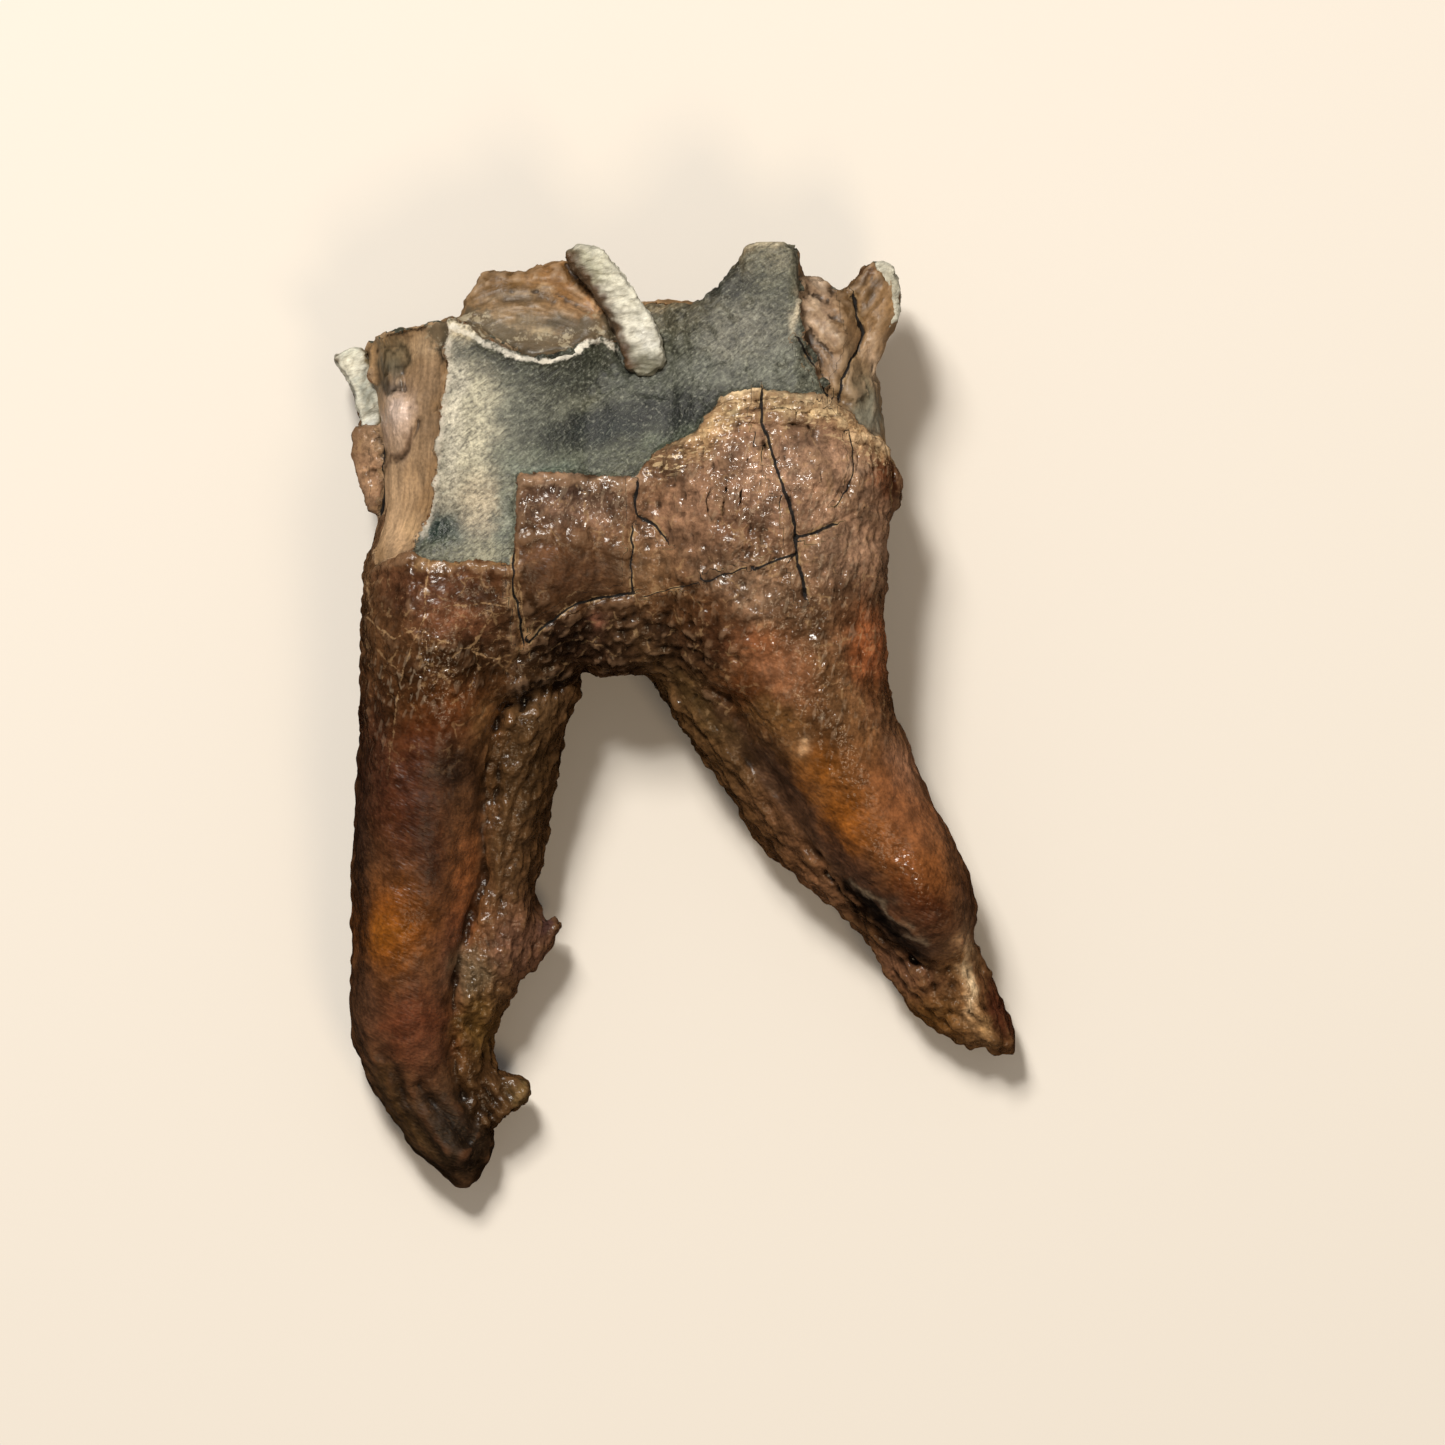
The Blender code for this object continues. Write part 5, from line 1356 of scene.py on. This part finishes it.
MASKS = {  # source, start, end, low, high
    "is_enamel": ("enamel_border", -0.05, 0.05, 0.0, 1.0),
    "is_dentine": ("dentine_border", -0.08, 0.08, 0.0, 1.0),
    "is_crack": ("crack_border", 1.3, 0.8, 0.0, 0.97),
    "beside_crack": ("crack_border", 3.6, 1.6, 0.0, 0.8),
    "is_healed": ("healed_border", 0.13, 0.0, 0.0, 0.5),
    "is_chalk": ("chalk_border", 0.5, 0.15, 0.0, 0.85),
    "is_ledge": ("ledge_border", 3.6, 2.4, 0.0, 0.8),
    "is_ridge": ("ridge_border", 0.9, -0.2, 0.0, 0.7),
    "is_vein": ("vein_gap", 0.05, 0.015, 0.0, 0.4),
    # painted shade in the hollows: darker where the skin lies below its neighbourhood
    "hollow_shade": ("highness", -0.05, -0.34, 0.0, 0.8),
    "on_crest": ("highness", 0.06, 0.28, 0.0, 0.35),
    "enamel_shade": ("enamel_fibre", 0.34, 0.66, 0.78, 1.22),
    "enamel_grain": ("enamel_speck", 0.36, 0.64, 0.76, 1.26),
    "enamel_patchy": ("enamel_cloud", 0.36, 0.64, 0.66, 1.26),
    # pale specks of the enamel, with painted glints among them
    "enamel_specks_and_glints": ("enamel_speck", 0.56, 0.68, 0.0, 0.24),
    "enamel_dark": ("enamel_speck", 0.42, 0.3, 0.0, 0.4),
    "pale_fibres": ("enamel_fibre", 0.52, 0.66, 0.0, 0.24),
    "dark_fibres": ("enamel_fibre", 0.48, 0.34, 0.0, 0.42),
    "soft_crumbs": ("crumb", 0.36, 0.64, 0.78, 1.22),
    "weak_crumbs": ("crumb", 0.3, 0.7, 0.75, 1.25),
    "mottle_shade": ("mottle", 0.36, 0.64, 0.68, 1.3),
    "weak_mottle": ("mottle", 0.36, 0.64, 0.65, 1.3),
    "blotch_shade": ("blotch", 0.38, 0.62, 0.65, 1.25),
    "fibre_shade": ("root_fibre", 0.3, 0.7, 0.72, 1.28),
    "weak_fibre": ("root_fibre", 0.3, 0.7, 0.85, 1.15),
    "pebble_shade": ("pebble", 0.3, 0.7, 0.85, 1.15),
    "patches": ("mottle", 0.5, 0.58, 0.0, 1.0),
    "pale_crumbs": ("crumb", 0.6, 0.7, 0.0, 0.6),
    # pale varnish ridges on the wrinkles, and painted glints where the varnish glitters
    "pale_ridges_and_glints": ("wrinkle", 0.57, 0.67, 0.0, 0.16),
    "pale_hairs": ("hair_wrinkle", 0.56, 0.68, 0.0, 0.06),
    "dark_hairs": ("hair_wrinkle", 0.44, 0.32, 0.0, 0.12),
    "ledge_crumbs": ("mottle", 0.53, 0.6, 0.0, 0.75),
    # pale layers with painted highlights, and painted shade in the gaps between the layers
    "pale_layers_and_highlights": ("layer_fibre", 0.55, 0.62, 0.0, 0.6),
    "layer_gap_shade": ("layer_fibre", 0.42, 0.34, 0.0, 0.6),
    "black_pits": ("crumb", 0.4, 0.3, 0.0, 0.2),
    "streak_shade": ("dentine_streak", 0.34, 0.66, 0.84, 1.18),
    "band_shade": ("dentine_band", 0.35, 0.65, 0.85, 1.12),
    "dark_streaks": ("dentine_streak", 0.36, 0.28, 0.0, 0.25),
}
mask = {"root_share": read["root_share"], "rough_lobe": read["rough_lobe"]}
for name, (source, start, end, low_value, high_value) in MASKS.items():
    mask[name] = add(tree, RANGE, {
        "Value": pattern[source], "From Min": start, "From Max": end,
        "To Min": low_value, "To Max": high_value}, interpolation_type="SMOOTHSTEP")
for name, share in (("is_vein", mask["patches"]), ("beside_crack", mask["patches"]),
                    ("pale_crumbs", mask["patches"]), ("pale_ridges_and_glints", read["glitter"]),
                    ("is_healed", mask["weak_mottle"]), ("ledge_crumbs", mask["is_ledge"]),
                    ("is_ridge", mask["weak_mottle"]), ("is_chalk", mask["weak_mottle"]),
                    ("pale_layers_and_highlights", read["layered"]), ("layer_gap_shade", read["layered"])):
    mask[name] = add(tree, MATH, {0: mask[name], 1: share}, operation="MULTIPLY")
print(len(mask), "masks")

# %% [markdown]
# ### The tissues
# Enamel is glass-hard mineral, here stained grey to blue-black, with a satin skin. Dentine is the
# softer inside: tan, waxy and streaked along its grain. Cement on the neck is crumbly with pale
# veins, the root below it is smooth and evenly brown, and old cement on the lobes is like bark.
# Each recipe starts from the painted tone, makes it lighter and darker by its shades, and lays
# its coats over it. The finished tissues are then laid over the cement, each by its share, and
# the chalky broken edge and the cracks come last.

# %% Recipes of the tissues
# In each recipe the dark coat laid where the skin lies low is painted shade in its hollows.
RECIPES = {
    "cement": ("brown_tone", ("soft_crumbs", "mottle_shade", "blotch_shade"), (
        ("pale_crumbs", "#a5835f"), ("black_pits", "#160d07"), ("is_vein", "#a4855f"),
        ("pale_layers_and_highlights", "#dbc096"), ("layer_gap_shade", "#3a2414"), ("on_crest", "#96765a"),
        ("pale_ridges_and_glints", "#d9c3a6"), ("is_healed", "#b08f68"),
        ("hollow_shade", "#120a06"))),
    "smooth_root": ("brown_tone", ("weak_mottle", "weak_fibre", "pebble_shade"), (
        ("pale_hairs", "#a87a50"), ("dark_hairs", "#1d0e06"), ("on_crest", "#7a4c2c"),
        ("hollow_shade", "#140a05"))),
    "bark": ("brown_tone", ("weak_crumbs", "fibre_shade", "mottle_shade"), (
        ("on_crest", "#755535"), ("hollow_shade", "#0f0805"))),
    "enamel": ("enamel_tone", ("enamel_shade", "enamel_grain", "enamel_patchy"), (
        ("enamel_specks_and_glints", "#c6c6b8"), ("enamel_dark", "#1a1f1c"), ("pale_fibres", "#8f9386"),
        ("dark_fibres", "#11171a"), ("is_ridge", "#d8cebd"))),
    "dentine": ("dentine_tone", ("streak_shade", "band_shade", "pebble_shade"), (
        ("dark_streaks", "#46341f"), ("on_crest", "#b59a7c"), ("hollow_shade", "#22160c"),
        ("is_ledge", "#554b3a"), ("ledge_crumbs", "#b8ac92"))),
}
LAYERS = (("smooth_root", "root_share"), ("bark", "rough_lobe"), ("enamel", "is_enamel"),
          ("dentine", "is_dentine"))
LAST_COATS = [("is_chalk", "#e6e0d2"), ("beside_crack", "#a08460"), ("is_crack", "#080403")]
tissue = {}
for name, (tone, shades, coats) in RECIPES.items():
    made = read[tone]
    for shade in shades:
        made = add(tree, VECTOR_MATH, {0: made, "Scale": mask[shade]}, operation="SCALE")
    for share, coat in coats:
        made = add(tree, MIX, {SHARE: mask[share], COLOUR: made, OTHER_COLOUR: coat},
                   MIXED_COLOUR, data_type="RGBA")
    tissue[name] = made
colour = tissue["cement"]
for share, coat in [(share, tissue[name]) for name, share in LAYERS] + LAST_COATS:
    colour = add(tree, MIX, {SHARE: mask[share], COLOUR: colour, OTHER_COLOUR: coat},
                 MIXED_COLOUR, data_type="RGBA")
print("tissues:", list(tissue))

# %% [markdown]
# ### Gloss and fine relief
# Varnish makes cement and bark glossy, with a roughness near 0.25, and where it lies thick it is
# smoother still, which gives small crisp glints on soft wet lumps. Dentine and enamel are satin
# near 0.47, the smooth root is a little drier, and chalk and cracks are dull. The specular level
# of fresh varnish is 0.5. An old worn coat mirrors less, and the dark roots stay deep. The bump's
# heights are in millimetres and carry only what is finer than the mesh.

# %% Gloss and bump
GLOSS = {  # pattern, and the roughness at its low and high end
    "cement": ("mottle", 0.18, 0.36),
    "smooth_root": ("mottle", 0.44, 0.6),
    "bark": ("crumb", 0.16, 0.32),
    "enamel": ("enamel_speck", 0.36, 0.56),
    "dentine": ("dentine_streak", 0.36, 0.6),
}
RELIEF = {  # height in mm of each pattern
    "cement": (("wet", 0.2), ("pebble", 0.06)),
    "smooth_root": (("hair_wrinkle", 0.1), ("wet", 0.1)),
    "bark": (("wet", 0.34), ("pebble", 0.08), ("root_fibre", 0.06)),
    "enamel": (("enamel_fibre", 0.08), ("enamel_speck", 0.12)),
    "dentine": (("dentine_streak", 0.06), ("pebble", 0.05)),
}
GLITTER_RELIEF = (("wet", 0.32), ("wrinkle", 0.14))
VARNISH_ROUGHNESS = 0.13
VARNISH_SHARE = 0.9
OLD_VARNISH_SHINE = 0.36
DULL_ROUGHNESS = 0.8
gloss, height = {}, {}
for name, (source, low_value, high_value) in GLOSS.items():
    gloss[name] = add(tree, RANGE, {"Value": pattern[source], "From Min": 0.3, "From Max": 0.7,
                                    "To Min": low_value, "To Max": high_value})
for name, layers in RELIEF.items():
    height[name] = 0.0
    for source, amount in layers:
        height[name] = add(tree, MATH, {0: pattern[source], 1: amount, 2: height[name]},
                           operation="MULTIPLY_ADD")
roughness, heights = gloss["cement"], height["cement"]
for name, share in LAYERS:
    heights = add(tree, MIX, {SHARE: mask[share], NUMBER: heights, OTHER_NUMBER: height[name]},
                  data_type="FLOAT")
for source, amount in GLITTER_RELIEF:
    wet_lumps = add(tree, MATH, {0: pattern[source], 1: read["glitter"]}, operation="MULTIPLY")
    heights = add(tree, MATH, {0: wet_lumps, 1: amount, 2: heights}, operation="MULTIPLY_ADD")
varnished = add(tree, MATH, {0: read["glitter"], 1: VARNISH_SHARE}, operation="MULTIPLY")
dull = add(tree, MATH, {0: mask["is_chalk"], 1: mask["is_crack"]}, operation="MAXIMUM")
for share, finish in [(mask[share], gloss[name]) for name, share in LAYERS] + [
        (varnished, VARNISH_ROUGHNESS), (dull, DULL_ROUGHNESS)]:
    roughness = add(tree, MIX, {SHARE: share, NUMBER: roughness, OTHER_NUMBER: finish},
                    data_type="FLOAT")
bump = add(tree, "ShaderNodeBump", {"Height": heights, "Strength": 1.0, "Distance": MM})
surface = add(tree, SHADER, {
    "Base Color": colour, "Roughness": roughness, "Specular IOR Level": OLD_VARNISH_SHINE,
    "Normal": bump, "IOR": 1.5})
add(tree, OUTPUT, {"Surface": surface})
dress((crown, roots), fossil)
print("material nodes:", len(tree.nodes))

# %% [markdown]
# ## White enamel
# Three bits of enamel show their broken section, which is fibrous and white: a band across the left
# break, a flake at the left edge and a chip on the right horn. They are small plates with
# ragged faces, made like the walls above, rounded by a bevel, remeshed fine and roughened.

# %% Make the white enamel pieces
BAND_OUTLINE = [
    (566, 258), (572, 251), (583, 248), (597, 249), (607, 257), (619, 272), (632, 290),
    (642, 306), (652, 322), (660, 337), (665, 354), (663, 368), (652, 376), (638, 377),
    (628, 370), (621, 350), (613, 327), (602, 306), (589, 288), (575, 272)]
FLAKE_OUTLINE = [
    (332, 357), (343, 351), (353, 346), (362, 348), (369, 361), (377, 376), (382, 390),
    (382, 406), (378, 425), (371, 441), (364, 435), (359, 417), (355, 398), (347, 379),
    (339, 366)]
CHIP_OUTLINE = [
    (873, 264), (884, 262), (892, 266), (898, 280), (900, 300), (897, 319), (888, 331),
    (884, 324), (890, 310), (889, 290), (882, 278)]
WHITE_TONE = "#e4e1cf"
WHITE_STAINS = [
    ((570, 256), (13, 9), 0, "#6a5c40", 0.95), ((592, 274), (10, 14), 30, "#b5b496", 0.8),
    # the two near-white streaks on the band's right half are painted highlights
    ((630, 334), (9, 24), 28, "#ece9d9", 0.8), ((648, 342), (8, 18), 24, "#f2f1e8", 0.9),
    ((632, 362), (12, 8), 0, "#a5a594", 0.8), ((646, 369), (22, 13), 0, "#84826f", 0.97),
    ((584, 262), (5, 12), -20, "#c9c8ae", 0.7), ((596, 278), (8, 6), 0, "#cfccb2", 0.7),
    ((604, 262), (10, 8), 0, "#dedbc4", 0.7), ((350, 352), (9, 7), 0, "#e2e3d2", 0.8),
    ((361, 385), (7, 12), 0, "#9fa8a0", 0.7), ((368, 430), (6, 14), 0, "#dfe4e0", 0.8),
    ((367, 400), (6, 12), 0, "#8f9286", 0.85), ((334, 358), (5, 5), 0, "#5e503a", 0.9),
    ((890, 285), (8, 20), 0, "#a8a28c", 0.8), ((886, 310), (8, 12), 0, "#6d6450", 0.8)]
WHITE_LINES = [
    ([(569, 263), (586, 283), (600, 302), (611, 322), (619, 345), (627, 368)], 8.5, "#54391c", 0.97),
    ([(366, 350), (374, 368), (381, 388), (381, 408), (375, 432)], 4.5, "#6d5c38", 0.95)]
WHITE_PIECES = {  # outline, back and front depth, lean, rounding of the edges, first seed
    "enamel_band": (BAND_OUTLINE, 20.0, 31.1, (0.08, 0.24), 0.4, 30),
    "enamel_flake": (FLAKE_OUTLINE, 7.5, 18.2, (-0.3, 0.0), 0.35, 35),
    "enamel_chip": (CHIP_OUTLINE, 12.0, 24.6, (-0.3, 0.0), 0.35, 40),
}
WHITE_VOXEL = 0.22


def white_piece(name, outline, back, front, lean, rounding, seed):
    """A plate with a ragged face, painted like the skin."""
    shape = bmesh.new()
    add_plate(shape, picture_mm(outline), back, front, lean)
    bmesh.ops.bevel(shape, geom=shape.edges[:], offset=rounding * MM, offset_type="OFFSET",
                    segments=3, profile=0.5, affect="EDGES", material=-1, clamp_overlap=True)
    piece = new_piece(name, shape)
    add_modifier(piece, "REMESH", mode="VOXEL", voxel_size=WHITE_VOXEL * MM)
    add_modifier(piece, "SMOOTH", factor=0.5, iterations=3)
    apply_modifiers(piece)
    spread = read_vectors(piece.data.vertices, "co") / MM
    ragged = fields(spread, (0.22, 1.6, seed), (0.14, 0.6, seed + 1),
                    (0.1, (1.6, 0.35, 1.0), seed + 2))
    spread += read_vectors(piece.data.vertices, "normal") * ragged[:, None]
    spread = np.clip(spread, inner_low, inner_high)
    write_places(piece, spread)
    shifted = spread[:, :2] + sideways(spread, (0.5, 0.9, seed + 3))
    store(piece, "white_tone", paint(WHITE_TONE, WHITE_STAINS, WHITE_LINES, shifted, 1.0))
    for polygon in piece.data.polygons:
        polygon.use_smooth = True
    return piece


white_pieces = [white_piece(name, *row) for name, row in WHITE_PIECES.items()]
for piece in white_pieces:
    print(piece.name, len(piece.data.polygons), "squares")

# %% [markdown]
# The white section is enamel too, but broken across its fibres: cream white with grey-green
# stains, a satin gloss and short scratches across the band. Its fibres are drawn coarser than
# they are, as on the face of the tooth.

# %% White enamel material
white, tree = new_material("white_enamel_broken_across_its_fibres")
white_place = add(tree, "ShaderNodeTexCoord", output="Object")
white_tone = add(tree, "ShaderNodeAttribute", output="Color", attribute_name="white_tone")
WHITE_PATTERNS = {  # size in mm, stretch, turn, detail
    "fibres": (0.2, 4.0, 24, 4.0),
    "clouds": (1.3, 1.0, 0, 5.0),
    "grit": (0.35, 1.0, 0, 4.0),
}
WHITE_MASKS = {  # pattern, start, end, low, high
    "fibre_shade": ("fibres", 0.34, 0.66, 0.74, 1.12),
    "cloud_shade": ("clouds", 0.34, 0.66, 0.68, 1.08),
    "grime": ("grit", 0.6, 0.72, 0.0, 0.4),
    "satin": ("fibres", 0.3, 0.7, 0.36, 0.6),
}
WHITE_RELIEF = 0.16
WHITE_IOR = 1.62
white_pattern, white_mask = {}, {}
for name, (size, stretch, turn, detail) in WHITE_PATTERNS.items():
    turned = add(tree, MAPPING, {"Vector": white_place, "Rotation": (0, 0, math.radians(turn)),
                                 "Scale": (stretch, 1.0, 1.0)}, vector_type="TEXTURE")
    white_pattern[name] = add(tree, NOISE, {"Vector": turned, "Scale": 1 / (size * MM),
                                            "Detail": detail, "Roughness": 0.65})
for name, (source, start, end, low_value, high_value) in WHITE_MASKS.items():
    white_mask[name] = add(tree, RANGE, {
        "Value": white_pattern[source], "From Min": start, "From Max": end,
        "To Min": low_value, "To Max": high_value})
made = white_tone
for shade in ("fibre_shade", "cloud_shade"):
    made = add(tree, VECTOR_MATH, {0: made, "Scale": white_mask[shade]}, operation="SCALE")
made = add(tree, MIX, {SHARE: white_mask["grime"], COLOUR: made, OTHER_COLOUR: "#5f5a45"},
           MIXED_COLOUR, data_type="RGBA")
white_bump = add(tree, "ShaderNodeBump", {"Height": white_pattern["fibres"], "Strength": 1.0,
                                          "Distance": WHITE_RELIEF * MM})
white_surface = add(tree, SHADER, {
    "Base Color": made, "Roughness": white_mask["satin"], "Normal": white_bump,
    "IOR": WHITE_IOR})
add(tree, OUTPUT, {"Surface": white_surface})
dress(white_pieces, white)
print("white enamel nodes:", len(tree.nodes))

# %% [markdown]
# ## Studio
# A pale floor and three lights. The key is big and soft and comes from above the crown, as in the
# picture, and a small one beside it draws the crisp glints in the varnish. A weak warm fill from
# the lower right gives the roots their sheen. Neither the floor nor the grey of the world is
# mirrored: the varnish would turn every edge of the dark roots grey with them.

# %% Floor and lights
FLOOR_SIZE = 2.0
LIGHTS = {  # place and size in metres, power in watts, tint
    "key": ((-0.2, 0.48, 0.85), 0.2, 6.9, (1.0, 0.94, 0.85)),
    "fill": ((0.28, -0.4, 0.9), 0.26, 2.1, (1.0, 0.78, 0.52)),
    "spark": ((-0.16, 0.4, 0.92), 0.09, 3.4, (1.0, 0.97, 0.91)),
}
WORLD_GREY = (0.95, 0.93, 0.9, 1.0)
WORLD_STRENGTH = 0.22

floor_mesh = bmesh.new()
bmesh.ops.create_grid(floor_mesh, x_segments=1, y_segments=1, size=FLOOR_SIZE)
floor = new_piece("floor", floor_mesh)
paper, tree = new_material("matt_white_paper")
paper_surface = add(tree, SHADER, {"Base Color": "#e2dcd4", "Roughness": 0.9})
add(tree, OUTPUT, {"Surface": paper_surface})
dress([floor], paper)
floor.visible_glossy = False

for name, (place, size, power, tint) in LIGHTS.items():
    light = bpy.data.lights.new(name, "AREA")
    light.size = size
    light.energy = power
    light.color = tint
    lamp = bpy.data.objects.new(name, light)
    lamp.location = place
    lamp.rotation_euler = (-Vector(place)).to_track_quat("-Z", "Y").to_euler()
    bpy.context.scene.collection.objects.link(lamp)

world = bpy.data.worlds.new("studio")
world.use_nodes = True
background = world.node_tree.nodes["Background"]
background.inputs["Color"].default_value = WORLD_GREY
background.inputs["Strength"].default_value = WORLD_STRENGTH
world.cycles_visibility.glossy = False
bpy.context.scene.world = world
bpy.context.scene.view_settings.view_transform = "Standard"
print("studio with", len(LIGHTS), "lights")

# %% [markdown]
# ## Camera
# The picture looks straight down on the tooth. A long lens from far away keeps the proportions
# of low and high places as the picture has them. Lengths are in millimetres here too, and the
# distance is counted from a plane at the middle of the tooth's depth.

# %% Camera
SENSOR = 36.0
DISTANCE = 1600.0
MIDDLE_DEPTH = 23.0
frame_width = PICTURE_SIZE / PIXELS_PER_MM
frame_middle = picture_mm((PICTURE_SIZE / 2, PICTURE_SIZE / 2))
camera_data = bpy.data.cameras.new("camera")
camera_data.sensor_width = SENSOR
camera_data.lens = SENSOR * DISTANCE / frame_width
camera = bpy.data.objects.new("camera", camera_data)
camera.location = Vector((frame_middle[0], frame_middle[1], MIDDLE_DEPTH + DISTANCE)) * MM
bpy.context.scene.collection.objects.link(camera)
bpy.context.scene.camera = camera
print("lens", round(camera_data.lens, 1), "mm")

# %% [markdown]
# Every piece rides on the one body. Crown and roots together stand for the solid.

for piece in (crown, roots, *white_pieces):
    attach(piece, "root")
for piece in (crown, roots):
    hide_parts("tooth")
